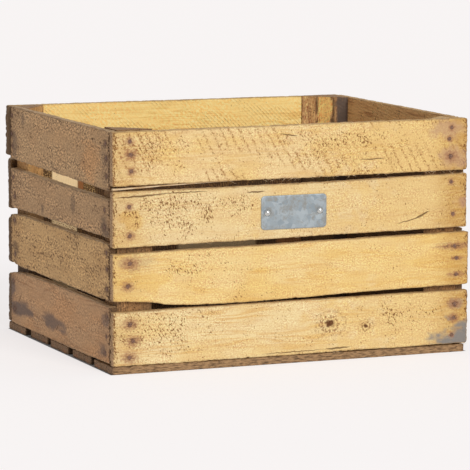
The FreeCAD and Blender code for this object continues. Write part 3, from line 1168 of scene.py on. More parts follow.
def lay_flecks(finish):
    """Torn flecks, thicker towards the ends and in the dark patches."""
    sketch, look = finish.sketch, finish.look
    amount = sketch.times(sketch.mark("ragged_end"), look["end_flecks"])
    amount = sketch.plus(amount, look["flecks"])
    amount = sketch.plus(sketch.times(sketch.mark("dark_patch"), look["more_flecks"]), amount)
    flecks = sketch.group(fleck_group, Place=finish.near, Amount=amount, Lean=look["fleck_lean"])
    finish.flecks = flecks["Mask"]
    finish.lay(sketch.times(flecks["Halo"], 0.5), "halo")
    finish.lay(sketch.times(finish.flecks, 0.9), "fleck")
    finish.sink_by(sketch.times(finish.flecks, 0.3))


print("saw marks are ready")


# %% Layers from weather and use, with painted shade and light
def lay_weather_painted_shade_and_light(finish):
    """Darkened ends, grey clouds and painted deep shade, then the inner squares (the pale ones
    painted light), then dirty corners.
    """
    sketch, look = finish.sketch, finish.look
    mottle = sketch.lumps(finish.place, (16, 4, 6), detail=4, rough=0.62)
    end_share = sketch.times(sketch.mark("end_tone"), sketch.step(mottle, 0.3, 0.6, 0.5, 1.0))
    finish.lay(end_share, "end_tint", "MULTIPLY")
    grey = sketch.times(sketch.mark("grey_patch"), sketch.step(mottle, 0.15, 0.45, 0.3, 1.0))
    finish.lay(grey, "grey")
    # painted shade on the posts' lower insides; the posts' dark seam lines use the same mark
    finish.lay(sketch.mark("shade"), deep_shade)
    if look["inner_spring"]:
        # painted light: the pale patches brighten the dark inside where light would fall
        finish.lay(sketch.mark("painted_light_patch"), "pale")
        finish.lay(sketch.mark("red_patch"), "brown")
        specks = sketch.lumps(finish.place, (1.7, 1.7, 2), detail=1)
        specks = sketch.times(sketch.step(specks, 0.5, 0.6), sketch.mark("speckled_patch"))
        finish.lay(specks, "speckle")
    corners = sketch.group(corner_group, Place=finish.place, Corner=sketch.mark("corner"))
    finish.lay(sketch.times(corners["Dirt"], look["dirt_share"]), "dirt")


def lay_edges_and_ends(finish):
    """Sawn edges are streaked lengthwise, and sawn ends are speckled with open pores."""
    sketch, look = finish.sketch, finish.look
    streaks = sketch.lumps(finish.place, look["edge_streak"], detail=4, rough=0.65)
    edge_tint = sketch.mix(sketch.step(streaks, 0.3, 0.62), tone(*look["edge_dark"]),
                           tone(*look["edge"]))
    finish.lay(sketch.times(sketch.mark("edge_grain"), 0.85), edge_tint)
    speck = sketch.lumps(finish.place, (30, 1.6, 1.6), detail=4, rough=0.7)
    end_tint = sketch.mix(sketch.step(speck, 0.34, 0.54), tone(*look["end_dark"]),
                          tone(*look["end"]))
    finish.lay(sketch.mark("end_grain"), end_tint)


def lay_splits(finish):
    """Splits open on the outer face, and are sunk."""
    sketch = finish.sketch
    for start_s, start_h, slope, length, width in finish.look["splits"]:
        split = sketch.group(split_group, Place=finish.place, Start=finish.at(start_s, start_h),
                             Slope=slope, Length=length * MM, Width=width * MM)
        share = sketch.times(split["Mask"], finish.outside)
        finish.lay(sketch.times(share, 0.85), split_dark)
        finish.sink_by(share)


def lay_rust(finish):
    """The nails' rust, which came last: a cloud and its darker core."""
    sketch = finish.sketch
    rust = sketch.group(rust_group, Place=finish.place, Nearness=sketch.mark("rust"))
    finish.lay(sketch.times(rust["Cloud"], 0.7), "rust_cloud")
    finish.lay(sketch.times(rust["Core"], 0.8), "rust_core")


print("weather, splits and rust are ready")

# %% Timber
layers_in_order = (lay_grain, lay_nap, lay_knots, lay_saw_tracks, lay_flecks, lay_weather_painted_shade_and_light,
                   lay_edges_and_ends, lay_splits, lay_rust)
relief_height = 0.9 * MM


def timber(name, look, seed):
    """A finished timber material from a board's own look."""
    finish = Finish(name, look, seed)
    for lay_layer in layers_in_order:
        lay_layer(finish)
    sketch, shader = finish.sketch, finish.shader
    sketch.feed(shader["Base Color"], finish.colour)
    rough = sketch.step(finish.flecks, 0, 1, finish.look["roughness"], 0.95)
    sketch.feed(shader["Roughness"], rough)
    sketch.feed(shader["Specular IOR Level"], 0.25)
    sketch.feed(shader["Normal"], sketch.bump(finish.height, finish.look["bump"], relief_height))
    return finish.material


print("layers:", len(layers_in_order))

# %% [markdown]
# ## The walls
# Each slat lists what is its own: its colours, how it was sawn, where it is
# stained and where it has split. Lengths are in mm in the crate's frame, along
# the wall and up it. Chance alone could place the stains, but a few listed
# one by one give each slat a life of its own. The front is the sunny side: pale,
# yellow and speckled.

# %% Board maker
made_boards = {}


def add_board(node, wall_name, seed, look, step=2.0):
    """Swaps a packed board for a worn, finished one."""
    wall = walls[wall_name]
    skin = Skin(node, wall, step * MM)
    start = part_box(node)[0][wall.along] / MM
    wear_board(skin, heads[wall_name], seed, look)
    piece = skin.object("worn_" + node)
    piece.data.materials.append(timber("timber_" + node, {**look, "start": start}, seed))
    made_boards[node] = fix_to_crate(piece, node)


front_looks = (
    {"spring": (216, 187, 137), "summer": (194, 152, 92), "warm": (208, 168, 92), "warm_share": 0.5,
     "flecks": 0.72, "more_flecks": 0.3, "fleck": (120, 80, 40), "fleck_lean": -0.5, "tracks": 0.9,
     "track_pitch": 11.0, "track_lean": -0.5, "saw_lean": -28, "saw_pitch": 11.0, "saw_depth": 0.6,
     "tear": 1.5, "end_tones": (0.5, 0.9), "grey": (176, 140, 112),
     "patches": (("dark_patch", -190, 284, 60, 34, 1.0), ("dark_patch", 60, 278, 80, 36, 1.0),
                 ("warm_patch", 200, 270, 180, 90, 0.5), ("grey_patch", 222, 296, 30, 14, 0.6),
                 ("grey_patch", 232, 260, 26, 14, 0.6)),
     "splits": ((-20, 300, -0.15, 26, 1.2), (92, 262, 0.03, 40, 1.0))},
    {"spring": (214, 188, 141), "summer": (196, 158, 98), "warm": (206, 166, 96), "warm_share": 0.35,
     "flecks": 0.62, "more_flecks": 0.5, "fleck_lean": -0.3, "tracks": 0.2, "track_pitch": 4.0,
     "track_lean": -0.1, "bands": 0.3, "end_tones": (0.5, 1.0), "grey": (170, 130, 104),
     "patches": (("dark_patch", -165, 204, 80, 34, 1.0), ("dark_patch", -75, 210, 24, 22, 1.0),
                 ("warm_patch", -222, 196, 26, 16, 0.7), ("warm_patch", -55, 196, 16, 26, 0.4),
                 ("warm_patch", 60, 176, 30, 14, 0.4), ("grey_patch", 244, 202, 12, 9, 0.7),
                 ("warm_patch", 200, 195, 180, 90, 0.5)),
     "splits": ((146, 175, 0.22, 40, 0.9), (174, 181.5, 0.42, 21, 2.2), (-247, 226.2, 0.035, 70, 1.8),
                (-190, 229.4, 0.012, 72, 1.0), (-66, 226.2, 0.02, 26, 1.6))},
    {"spring": (217, 187, 130), "summer": (200, 154, 84), "warm": (210, 168, 88), "warm_share": 0.5,
     "flecks": 0.45, "more_flecks": 0.5, "fleck_lean": -0.55, "tracks": 0.16, "track_pitch": 4.0,
     "track_lean": 0.12, "rust_size": 14, "rust_stretch": (1.4, 4.2), "end_tones": (0.4, 0.9),
     "grey": (176, 146, 106),
     "patches": (("dark_patch", -140, 140, 60, 20, 1.0), ("dark_patch", -90, 120, 90, 34, 0.6),
                 ("warm_patch", -200, 118, 34, 16, 0.5), ("grey_patch", -215, 142, 30, 12, 0.5),
                 ("warm_patch", 84, 104, 34, 18, 0.35), ("warm_patch", 200, 118, 150, 60, 0.3))},
    {"spring": (216, 191, 143), "summer": (194, 148, 84), "warm": (206, 166, 94), "warm_share": 0.4,
     "flecks": 0.62, "more_flecks": 0.5, "fleck_lean": -0.5, "tracks": 0.16, "track_lean": -0.1,
     "bands": 0.5, "grey": (126, 120, 114), "fuzz": 1.6, "end_tones": (0.4, 1.0),
     "patches": (("dark_patch", -190, 52, 80, 34, 1.0), ("dark_patch", 160, 58, 60, 22, 0.8),
                 ("warm_patch", 200, 45, 180, 90, 0.5), ("grey_patch", 258, 6, 66, 42, 1.0),
                 ("warm_patch", 140, 31, 34, 2.5, 0.6), ("warm_patch", 62, 24, 60, 3, 0.5),
                 ("warm_patch", -20, 21, 60, 3, 0.4), ("grey_patch", 236, 64, 14, 9, 0.5)),
     "knots": ((52.7, 48.8, 16), (104.6, 42.4, 9)),
     "splits": ((-46, 14.5, 0.01, 92, 0.8), (44, 15.5, 0.02, 38, 1.8))},
)

for index, look in enumerate(front_looks):
    add_board("front_slat_%d" % (index + 1), "front", 11 + index, look, step=1.5)
print("front wall:", sorted(made_boards))

# %% [markdown]
# ## The left end wall
# This end has stood in the weather: the sun and rain took the yellow out of
# the wood and left it grey-brown, with the rough saw marks standing out. Four
# separate sets of colours would drift apart, so what the slats of this end
# share is written once, and each slat adds its own to it.

# %% Left end wall
left_looks = (
    {"spring": (176, 142, 102), "summer": (146, 112, 78), "warm": (190, 136, 84), "warm_share": 0.15,
     "fleck": (80, 56, 38), "flecks": 0.75, "fleck_lean": 0.12, "track": (122, 92, 66), "tracks": 0.8,
     "track_pitch": 3.4, "track_lean": -0.35, "bands": 0.15, "fibres": 0.12, "tear": 1.8,
     "nap": 1.0, "saw_lean": -20, "saw_pitch": 3.4, "saw_depth": 1.6, "grey": (104, 84, 68),
     "patches": (("warm_patch", -128, 268, 40, 30, 0.5), ("grey_patch", 176, 262, 14, 34, 0.6),
                 ("grey_patch", 140, 296, 8, 10, 0.6), ("grey_patch", -178, 268, 16, 40, 0.3))},
    {"spring": (170, 136, 98), "summer": (140, 106, 74), "warm": (178, 132, 86), "warm_share": 0.2,
     "fleck": (84, 60, 42), "flecks": 0.65, "fleck_lean": 0.05, "tracks": 0.6, "track_pitch": 3.0,
     "track_lean": -0.08, "track": (122, 92, 64), "bands": 0.15, "fibres": 0.12, "nap": 1.0,
     "grey": (92, 74, 60),
     "patches": (("grey_patch", 60, 184, 8, 12, 0.6), ("grey_patch", -176, 186, 16, 16, 0.7),
                 ("grey_patch", -60, 206, 10, 16, 0.5))},
    {"spring": (192, 154, 104), "summer": (142, 104, 68), "warm": (186, 142, 88), "warm_share": 0.3,
     "fleck": (74, 50, 30), "flecks": 0.95, "fleck_lean": 0.25, "tracks": 0.5, "track": (106, 76, 48),
     "tear": 1.6, "nap": 0.8, "bands": 0.2, "patches": (("grey_patch", 172, 112, 16, 16, 0.6),),
     "grey": (84, 62, 46)},
    {"spring": (176, 138, 100), "summer": (138, 98, 64), "warm": (184, 134, 88), "warm_share": 0.45,
     "fleck": (84, 58, 40), "flecks": 0.3, "tracks": 0.1, "bands": 0.55, "grey": (98, 82, 74),
     "nap": 0.6,
     "patches": (("grey_patch", 150, 34, 66, 12, 0.85), ("grey_patch", 20, 34, 46, 13, 0.8),
                 ("grey_patch", 190, 56, 16, 22, 0.8), ("grey_patch", -178, 66, 20, 10, 0.6),
                 ("grey_patch", -172, 24, 26, 12, 0.7)),
     "splits": ((148, 58, -1.2, 14, 2.2), (-2, 36, -1.0, 10, 2.2))},
)
shared_end = {"coarse": 2.4, "nap_size": (1.8, 2.8, 2), "halo": (124, 94, 68), "rust_size": 10,
              "end_flecks": 1.1, "rounded": 3.0, "dirt": (74, 54, 38), "dirt_share": 0.5,
              "end": (110, 84, 58), "end_dark": (58, 40, 28), "edge": (196, 166, 128),
              "edge_dark": (140, 110, 80), "rust_cloud": (104, 76, 54), "rust_core": (60, 44, 36),
              "inner_spring": (176, 138, 88), "inner_summer": (134, 96, 58),
              "end_tones": (0.25, 0.35), "end_tint": (200, 190, 186)}
for index, look in enumerate(left_looks):
    add_board("left_end_slat_%d" % (index + 1), "left_end", 31 + index, {**shared_end, **look},
              step=1.5)
print("left end wall is up")

# %% [markdown]
# ## Back and right end walls
# The insides of these walls show over the rim. The top back slat is golden and
# hatched by the saw. The lower slats inside are painted dark: painted shade of
# the crate's inside, with some dirt. The pale squares on the back ones are painted
# light, with speckled and brown strips beside them. Their outer faces were left to
# the weather. So these boards have two faces with colours of their own, and the
# finish tells them apart by the inside mark.

# %% Back and right end walls
back_outer = {"spring": (190, 160, 114), "summer": (146, 110, 68), "warm": (186, 142, 86),
              "warm_share": 0.35, "fleck": (88, 60, 34), "flecks": 0.75, "tracks": 0.4,
              "track_pitch": 3.0, "track_lean": 0.7, "end": (112, 86, 60), "end_dark": (56, 40, 28),
              "hatch": (150, 114, 72), "hatch_lean": 0.0, "hatch_pitch": 3.6, "hatch_share": 0.85}
back_looks = (
    {"inner_spring": (255, 219, 140), "inner_summer": (222, 166, 84), "hatch": (150, 100, 44),
     "hatch_lean": -0.8, "hatch_share": 0.9, "hatch_pitch": 4.2, "flecks": 0.15, "nap": 0.5,
     "nap_size": (4.0, 3.0, 2), "brown": (112, 92, 72), "edge": (190, 158, 112),
     "edge_dark": (124, 94, 62), "fuzz": 1.4,
     "patches": (("red_patch", -252, 270, 11, 60, 1.0),)},
    # slats 2 to 4: their dark inside colours are painted shade, with some dirt; their pale squares
    # are painted light
    {"inner_spring": (74, 50, 28), "inner_summer": (50, 33, 18),
     "patches": (("speckled_patch", -197, 200, 8, 40, 1.0), ("painted_light_patch", -170.3, 200, 19, 40, 0.95),
                 ("red_patch", -146.8, 200, 4.4, 40, 1.0),
                 ("speckled_patch", -133.5, 200, 9, 40, 1.0))},
    {"inner_spring": (72, 50, 28), "inner_summer": (48, 32, 18), "speckle": (120, 86, 54),
     "patches": (("painted_light_patch", -171.3, 136, 18.4, 18, 0.85),
                 ("speckled_patch", -171.3, 136, 18.4, 18, 0.8),
                 ("painted_light_patch", 58, 108, 60, 14, 0.25), ("red_patch", 190, 108, 40, 8, 0.5))},
    {"inner_spring": (60, 42, 26), "inner_summer": (42, 29, 18), "hatch_share": 0.3,
     "patches": (("painted_light_patch", -171, 54, 18, 14, 0.35),)},
)
for index, look in enumerate(back_looks):
    add_board("back_slat_%d" % (index + 1), "back", 51 + index, {**back_outer, **look})

right_outer = {"spring": (200, 168, 116), "summer": (154, 114, 68), "warm": (196, 146, 84),
               "warm_share": 0.4, "fleck": (92, 62, 36), "flecks": 0.7, "tracks": 0.5,
               "track_lean": 1.1,
               "bands": 0.7, "fibres": 0.6, "hatch": (120, 80, 46), "hatch_lean": 1.45,
               "hatch_pitch": 4.5, "end": (112, 86, 60)}
# the lower right slats: their dark inside colours are painted shade, with some dirt
right_low_painted_shade = {"inner_spring": (88, 62, 38), "inner_summer": (58, 40, 24), "hatch": (124, 92, 56)}
right_looks = (
    {"saw_lean": 40, "inner_spring": (226, 176, 116), "inner_summer": (176, 124, 76)},
    {**right_low_painted_shade, "splits": ((-120, 200, 0.05, 120, 1.6),)},
    {**right_low_painted_shade, "knots": ((40, 128, 12),)},
    {**right_low_painted_shade, "knots": ((-90, 50, 9),)},
)
for index, look in enumerate(right_looks):
    add_board("right_end_slat_%d" % (index + 1), "right_end", 71 + index, {**right_outer, **look})
print("boards so far:", len(made_boards))

# %% [markdown]
# ## The floor boards
# Five boards run lengthwise under the walls. They have stood on wet ground,
# so their ends are dark with dirt. Their long edges, which face each other
# across the gaps, are painted nearly black as the shade between the boards.
# Only the front board's long edge shows from outside, and there the dirt has
# worn to brown streaks. A second small look on top of the shared one says how.

# %% Floor boards
# the dark long-edge colours are painted shade: the gaps between the boards
floor_look = {"spring": (150, 118, 78), "summer": (108, 80, 50), "warm": (146, 108, 66),
              "fleck": (66, 44, 26), "flecks": 0.8, "dirt": (66, 46, 30), "edge": (60, 44, 32),
              "edge_dark": (36, 26, 20), "end": (136, 106, 78),
              "end_dark": (50, 35, 25), "tracks": 0.5, "track_lean": 0.15, "nap": 0.6,
              "inner_spring": (150, 116, 74), "inner_summer": (106, 76, 46), "bow": 0.0, "cup": 0.0}
front_edge = {"edge": (160, 126, 90), "edge_dark": (52, 36, 24), "edge_streak": (9, 40, 1.6)}
for index in range(5):
    look = {**floor_look, **front_edge} if index == 0 else floor_look
    add_board("bottom_board_%d" % (index + 1), "bottom", 91 + index, look)
print("boards:", len(made_boards))

# %% [markdown]
# ## Corner posts
# A post is a strip sawn from corner to corner, so its right angle fills the
# crate's corner and its rough sawn face looks inside. A prism would do for the
# shape, but the sawn face and its thin edges show from above. So the section's
# outline is divided finely, run up the post in steps and roughened.

# %% Post pieces
post_arris = 2.5 * MM
post_step = 3 * MM
post_saw_pitch = 4.2 * MM
sharp_above = math.radians(50)


def post_outline(leg_x, leg_y):
    """Points round the section, as (from the corner along X, along Y)."""
    corners = [(0, 0), (leg_x, 0), (leg_x, post_arris), (post_arris, leg_y), (0, leg_y)]
    points = []
    for index, (x0, y0) in enumerate(corners):
        x1, y1 = corners[(index + 1) % len(corners)]
        count = max(1, int(math.hypot(x1 - x0, y1 - y0) / post_step))
        for k in range(count):
            points.append((x0 + (x1 - x0) * k / count, y0 + (y1 - y0) * k / count))
    return np.array(points)


def add_post(node, side_x, side_y, seed, look, shade=None, bands=(), seams=()):
    """Swaps a packed post for a worn one.

    Shade is how far up (mm) it is painted dark as shade, and where that ends. Bands are stains
    and seams dark lines up the sawn face, placed across it from -1 to 1.
    """
    low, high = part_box(node)
    leg_x, leg_y = high.x - low.x, high.y - low.y
    outline = post_outline(leg_x, leg_y)
    around = len(outline)
    levels = spread(high.z - low.z, post_step, arris) * (high.z - low.z)
    along = np.repeat(levels, around)
    a = np.tile(outline[:, 0], len(levels))
    b = np.tile(outline[:, 1], len(levels))
    # how far a point is inside the sawn face, and how far along that face it lies
    across = a / leg_x - b / leg_y
    sawn = soft_step(0.80, 0.97, a / leg_x + b / leg_y)
    flat = np.column_stack((along, across * leg_x, np.full(len(a), 0.013 * seed)))
    rough = 0.5 * noise(flat, (60, 12, 50), seed) + 0.35 * noise(flat, (5, 4, 50), seed + 1)
    rough += 0.3 * np.sin(along / post_saw_pitch * math.pi) * noise(flat, 50, seed + 2)
    thin_edge = soft_step(0.86, 0.97, np.abs(across))
    nick = np.clip(noise(flat, (12, 9, 50), seed + 3) - 0.25, 0, 1) * thin_edge * 2.2
    pull = (0.45 * rough + 0.35 + nick) * MM * sawn
    diagonal = math.hypot(leg_x, leg_y)
    a = a - pull * leg_y / diagonal * (a > post_arris)
    b = b - pull * leg_x / diagonal * (b > post_arris)
    to_end = np.minimum(along, along.max() - along)
    at_end = 1 - soft_step(0, 1.5 * MM, to_end)
    worn_end = 0.4 * MM * at_end * (1 + noise(np.column_stack((a, b, along)), 3, seed + 4))
    up = along + np.where(along > along.max() / 2, -1, 1) * worn_end

    places = np.column_stack((
        (high.x - a) if side_x > 0 else (low.x + a),
        (high.y - b) if side_y > 0 else (low.y + b),
        low.z + up,
    ))
    faces = tube_faces(around, len(levels)) + end_caps(around, len(levels))
    if side_x * side_y < 0:
        faces = [face[::-1] for face in faces]
    marks = {name: np.zeros(len(a)) for name in outer_patches}
    marks["grain_place"] = np.column_stack((along + seed * seed_shift, across * leg_x, b))
    marks["corner"] = thin_edge * sawn
    marks["end_grain"] = 1 - soft_step(0.1 * MM, 1.0 * MM, to_end)
    marks["shade"] = np.zeros(len(a))
    # painted shade: the post's lower part is darkened to stand in for the shade inside the crate
    if shade:
        marks["shade"] = 0.9 * (1 - soft_step(shade[0] * MM, shade[1] * MM, along))
    wobble = across + 0.10 * noise(flat, (22, 8, 50), seed + 6) + 0.05 * noise(flat, 5, seed + 7)
    for kind, first, last in bands:
        inside_band = soft_step(first - 0.03, first + 0.03, wobble)
        marks[kind] = inside_band * (1 - soft_step(last - 0.03, last + 0.03, wobble))
    # the seams are dark lines in the wood, laid on the same mark as the painted shade
    for seam in seams:
        line = 0.8 * (1 - soft_step(0.02, 0.07, np.abs(wobble - seam)))
        marks["shade"] = np.maximum(marks["shade"], line)
    piece = new_piece("worn_" + node, places, faces, marks)
    piece.data.set_sharp_from_angle(angle=sharp_above)
    piece.data.materials.append(timber("timber_" + node, {**look, "start": 0}, seed))
    fix_to_crate(piece, node)


post_look = {"spring": (172, 130, 88), "summer": (124, 86, 54), "warm": (176, 128, 78),
             "fleck": (78, 52, 32), "halo": (140, 102, 68), "flecks": 0.8, "tracks": 0.5,
             "track_lean": 0.2, "nap": 1.0, "nap_size": (6, 2.2, 2), "end": (168, 132, 96),
             "end_dark": (96, 70, 48), "dirt": (72, 50, 34), "bump": 0.7}
# The two front posts show only through the gaps between the slats; their dark colours are painted
# shade of those gaps.
add_post("corner_post_front_left", -1, -1, 111,
         {**post_look, "spring": (130, 100, 68), "summer": (88, 64, 42)})
add_post("corner_post_front_right", 1, -1, 112,
         {**post_look, "spring": (120, 90, 60), "summer": (84, 60, 40), "end": (214, 178, 124),
          "end_dark": (150, 114, 74)})
# shade= gives each back post painted shade low on its inside
add_post("corner_post_back_left", -1, 1, 113,
         {**post_look, "spring": (200, 154, 98), "summer": (150, 104, 62)}, shade=(120, 200))
add_post("corner_post_back_right", 1, 1, 114,
         {**post_look, "spring": (204, 156, 106), "summer": (152, 106, 70), "warm": (240, 190, 112),
          "grey": (112, 94, 82)}, shade=(215, 262),
         bands=(("warm_patch", -0.30, 0.26), ("grey_patch", -2.0, -0.52)), seams=(0.30, -0.38))
print("posts are up")

# %% [markdown]
# ## Nails
# The nail heads are flat steel discs, brown with rust, sunk level with the
# wood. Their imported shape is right, so they keep it and only get a finish:
# a dark crust, lighter where it has flaked.

# %% Rusty iron
def rusty_iron():
    """A dark crust that has flaked to lighter brown."""
    material, shader, sketch = new_finish("rusty_iron")
    place = sketch.node("ShaderNodeTexCoord").outputs["Object"]
    crust = sketch.lumps(place, (1.2, 1.2, 1.2), detail=4, rough=0.65)
    fine = sketch.lumps(place, (0.4, 0.4, 0.4), detail=3)
    colour = sketch.mix(sketch.step(crust, 0.35, 0.65), tone(70, 46, 38), tone(140, 100, 76))
    colour = sketch.mix(sketch.step(fine, 0.55, 0.7), colour, tone(168, 140, 120))
    sketch.feed(shader["Base Color"], colour)
    sketch.feed(shader["Roughness"], sketch.step(crust, 0.3, 0.7, 0.55, 0.9))
    sketch.feed(shader["Metallic"], sketch.step(fine, 0.5, 0.75, 0.15, 0.5))
    sketch.feed(shader["Normal"], sketch.bump(crust, 0.5, 0.2 * MM))
    return material


def refinish(node, material):
    """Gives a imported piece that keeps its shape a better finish."""
    materials = nodes[node].data.materials
    materials.clear()
    materials.append(material)


rust_material = rusty_iron()
for wall in walls.values():
    refinish(wall.nail_node, rust_material)
print("nails:", sum(len(rows) for rows in heads.values()))

# %% [markdown]
# ## The plate
# A blank galvanised plate is screwed to the second slat. Zinc cools into a
# mosaic of crystals, which a cell pattern gives, and it has dulled in the
# open. The sheet is built as rings of points stepping in from its rounded
# outline, so the cut edge, the slight dents and the dished screw seats are
# all real shape.

# %% Galvanised plate
def rounded_ring(half_length, half_height, radius, inset):
    """The plate's outline, stepped in by inset: points as (x, z) about its centre."""
    radius = max(radius - inset, 0.4 * MM)
    points = []
    reach_x = half_length - inset - radius
    reach_z = half_height - inset - radius
    signs = ((1, 1), (-1, 1), (-1, -1), (1, -1))
    for turn, (sign_x, sign_z) in enumerate(signs):
        for k in range(9):
            angle = math.radians(90 * turn + 90 * k / 8)
            points.append((sign_x * reach_x + radius * math.cos(angle),
                           sign_z * reach_z + radius * math.sin(angle)))
        next_x, next_z = signs[(turn + 1) % 4]
        start = points[-1]
        end_angle = math.radians(90 * turn + 90)
        finish = (next_x * reach_x + radius * math.cos(end_angle),
                  next_z * reach_z + radius * math.sin(end_angle))
        steps = 24 if sign_x != next_x else 10
        for k in range(1, steps):
            share = k / steps
            points.append((start[0] + (finish[0] - start[0]) * share,
                           start[1] + (finish[1] - start[1]) * share))
    return points


crystals_per_metre = 150


def galvanised():
    """Zinc crystals, dulled in clouds and spotted with brown."""
    material, shader, sketch = new_finish("galvanised_sheet")
    place = sketch.node("ShaderNodeTexCoord").outputs["Object"]
    cells = sketch.node("ShaderNodeTexVoronoi", feature="F1")
    sketch.feed(cells.inputs["Vector"], place)
    cells.inputs["Scale"].default_value = crystals_per_metre
    spangle = sketch.parts(cells.outputs["Color"])[0]
    dull = sketch.lumps(place, (7, 7, 7), detail=4, rough=0.6)
    grit = sketch.lumps(place, (1.2, 1.2, 1.2), detail=3, rough=0.6)
    colour = sketch.mix(spangle, tone(138, 148, 154), tone(164, 172, 176))
    colour = sketch.mix(sketch.step(dull, 0.45, 0.7), colour, tone(140, 140, 136))
    colour = sketch.mix(sketch.times(sketch.step(grit, 0.64, 0.72), 0.6), colour, tone(120, 100, 82))
    sketch.feed(shader["Base Color"], colour)
    sketch.feed(shader["Metallic"], sketch.step(dull, 0.4, 0.7, 0.75, 0.45))
    rough = sketch.plus(sketch.step(dull, 0.35, 0.7, 0.42, 0.6), sketch.times(spangle, 0.1))
    sketch.feed(shader["Roughness"], rough)
    sketch.feed(shader["Normal"], sketch.bump(sketch.plus(dull, grit), 0.3, 0.15 * MM))
    return material


plate_corner = 5.0 * MM
screw_head_radius = 4.5 * MM
ring_step = 1.8 * MM


def add_plate():
    """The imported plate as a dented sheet, stepped in ring by ring from its outline."""
    low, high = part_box("label_plate")
    centre = (low + high) / 2
    half_length, half_height = (high.x - low.x) / 2, (high.z - low.z) / 2
    thick = high.y - low.y
    first_screw, last_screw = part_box("label_screws")
    seats = (first_screw.x + screw_head_radius - centre.x,
             last_screw.x - screw_head_radius - centre.x)
    layers = [(0.0, 0.0), (0.0, thick - 0.35 * MM), (0.12 * MM, thick - 0.12 * MM),
              (0.4 * MM, thick)]
    inset = 2.0 * MM
    while inset < half_height - 1.5 * MM:
        layers.append((inset, thick))
        inset += ring_step
    places = []
    for inset, out in layers:
        for x, z in rounded_ring(half_length, half_height, plate_corner, inset):
            places.append((x, -out, z))
    around = len(places) // len(layers)
    faces = tube_faces(around, len(layers)) + end_caps(around, len(layers))
    points = np.array(places)
    front = soft_step(thick * 0.5, thick, -points[:, 1])
    dent = 0.22 * noise(points, (26, 50, 20), 301) + 0.06 * noise(points, (6, 50, 6), 302)
    for seat in seats:
        away = np.hypot(points[:, 0] - seat, points[:, 2])
        dent = dent + 0.35 * (1 - soft_step(4 * MM, 8 * MM, away))
    points[:, 1] += dent * MM * front
    points += np.array([centre.x, high.y, centre.z])
    piece = new_piece("galvanised_plate", points, faces)
    piece.data.materials.append(galvanised())
    return fix_to_crate(piece, "label_plate")


plate = add_plate()
print("plate points:", len(plate.data.vertices))

# %% [markdown]
# ### Its screws
# Two round-head screws hold the plate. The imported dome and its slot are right,
# so they only get a plated, scuffed steel.

# %% Screw steel
def screw_steel():
    """Bright plating with scuffs where a driver has slipped."""
    material, shader, sketch = new_finish("plated_screw_steel")
    place = sketch.node("ShaderNodeTexCoord").outputs["Object"]
    scuff = sketch.lumps(place, (0.8, 0.8, 0.8), detail=4, rough=0.6)
    colour = sketch.mix(sketch.step(scuff, 0.45, 0.7), tone(206, 208, 206), tone(128, 122, 114))
    sketch.feed(shader["Base Color"], colour)
    sketch.feed(shader["Roughness"], sketch.step(scuff, 0.4, 0.7, 0.24, 0.5))
    sketch.feed(shader["Metallic"], 0.95)
    return material


refinish("label_screws", screw_steel())
print("screws are finished")

# %% [markdown]
# ## Loose fibres
# The saw left torn fibres hanging from the slat edges. Each is a thin tapered
# strand: three-sided, curling away from the wood. They are too fine for a
# bump and too free for the board's own mesh, so they are small pieces. On the
# second front slat one long splinter has lifted off the top edge. It is a
# thicker tapered strand, lumpy along its length, that starts inside the slat.

# %% Loose fibres
def strand(root, direction, curl, length, width):
    """Points and faces of one tapered three-sided strand."""
    rings = 6
    points = []
    spot = Vector(root)
    heading = Vector(direction).normalized()
    side = heading.cross(Vector((0.3, 1.0, 0.2))).normalized()
    for k in range(rings):
        share = k / (rings - 1)
        size = width * (1 - 0.85 * share)
        other = heading.cross(side).normalized()
        for turn in range(3):
            angle = 2 * math.pi * turn / 3
            points.append(spot + (side * math.cos(angle) + other * math.sin(angle)) * size / 2)
        heading = (heading + Vector(curl) / rings).normalized()
        spot = spot + heading * length / (rings - 1)
    return points, tube_faces(3, rings) + end_caps(3, rings)


def pale_fibre():
    """Clean torn wood, streaked lengthwise."""
    material, shader, sketch = new_finish("torn_fibre")
    place = sketch.node("ShaderNodeTexCoord").outputs["Object"]
    streak = sketch.lumps(place, (20, 1.2, 1.2), detail=3)
    colour = sketch.mix(sketch.step(streak, 0.3, 0.7), tone(226, 206, 172), tone(178, 142, 96))
    sketch.feed(shader["Base Color"], colour)
    sketch.feed(shader["Roughness"], 0.85)
    return material


fibre_material = pale_fibre()


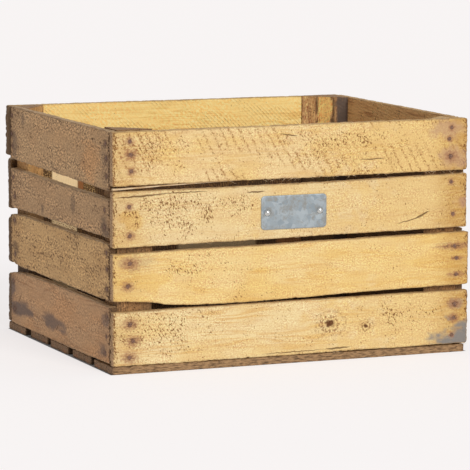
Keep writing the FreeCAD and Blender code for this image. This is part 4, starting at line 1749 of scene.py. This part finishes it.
def add_fibres(node, wall_name, clumps, seed):
    """Strands along a board's low or high edge; clumps are (centre mm, spread mm, count, edge)."""
    wall = walls[wall_name]
    low_corner, high_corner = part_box(node)
    random = np.random.default_rng(seed)
    points, faces = [], []
    stations = np.linspace(low_corner[wall.along], high_corner[wall.along], 60)
    edges = long_edges(node, wall, stations)
    outer = low_corner if wall.outward < 0 else high_corner
    for centre, reach, count, edge in clumps:
        for _ in range(count):
            along = centre * MM + random.normal() * reach * MM
            along = min(max(along, low_corner[wall.along]), high_corner[wall.along])
            height = np.interp(along, stations, edges[edge])
            root = Vector((0, 0, 0))
            root[wall.along] = along
            root[wall.rise] = height + (0.4 if edge == 0 else -0.4) * MM
            root[wall.through] = outer[wall.through] - wall.outward * random.uniform(0.2, 2) * MM
            way = Vector((0, 0, 0))
            way[wall.along] = random.choice((-1, 1)) * random.uniform(0.6, 1.6)
            way[wall.rise] = (-0.45 if edge == 0 else 0.35) * random.uniform(0.4, 1.2)
            way[wall.through] = wall.outward * random.uniform(0.0, 0.35)
            curl = Vector(random.uniform(-0.8, 0.8, 3))
            more, sides = strand(root, way, curl, random.uniform(3, 11) * MM,
                                 random.uniform(0.35, 0.8) * MM)
            faces += [tuple(i + len(points) for i in face) for face in sides]
            points += more
    piece = new_piece("fibres_" + node, points, faces)
    piece.data.materials.append(fibre_material)
    fix_to_crate(piece, node, swap=False)


add_fibres("front_slat_1", "front",
           ((0, 12, 14, 0), (-20, 60, 10, 0), (205, 14, 12, 0), (110, 60, 10, 0), (216, 10, 10, 1),
            (60, 120, 8, 1)), 5)
add_fibres("front_slat_2", "front", ((-150, 20, 3, 0), (230, 10, 5, 1), (60, 80, 5, 0)), 6)
add_fibres("front_slat_4", "front", ((55, 16, 6, 0), (246, 3, 6, 0)), 7)
add_fibres("left_end_slat_1", "left_end", ((196, 4, 12, 0), (60, 90, 12, 0)), 8)
add_fibres("left_end_slat_4", "left_end", ((-60, 30, 5, 1),), 9)


def add_splinter(name, node, first, last, thick, deep):
    """A long splinter lifted off a slat's edge; first and last are (along, up) in mm."""
    rings, sides = 70, 8
    share = np.repeat(np.linspace(0, 1, rings), sides)
    turn = np.tile(np.linspace(0, 2 * math.pi, sides, endpoint=False), rings)
    along = (first[0] + (last[0] - first[0]) * share) * MM
    up = (first[1] + (last[1] - first[1]) * share) * MM
    flat = np.column_stack((along, turn * MM, up * 0))
    size = (1 - 0.8 * share) * (1 + 0.35 * noise(flat, (14, 3, 5), 401)) * MM
    up += (0.5 * noise(np.column_stack((along, up * 0, up * 0)), (60, 5, 5), 402)) * MM
    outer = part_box(node)[0].y
    points = np.column_stack((
        along,
        outer + (0.8 + deep / 2) * MM + np.cos(turn) * size * deep / 2,
        up + np.sin(turn) * size * thick / 2,
    ))
    faces = tube_faces(sides, rings) + end_caps(sides, rings)
    piece = new_piece(name, points, faces)
    piece.data.materials.append(fibre_material)
    fix_to_crate(piece, node, swap=False)


add_splinter("lifted_splinter", "front_slat_2", (-249, 237.2), (-68, 242.4), thick=2.7, deep=4.0)
print("fibres are on")
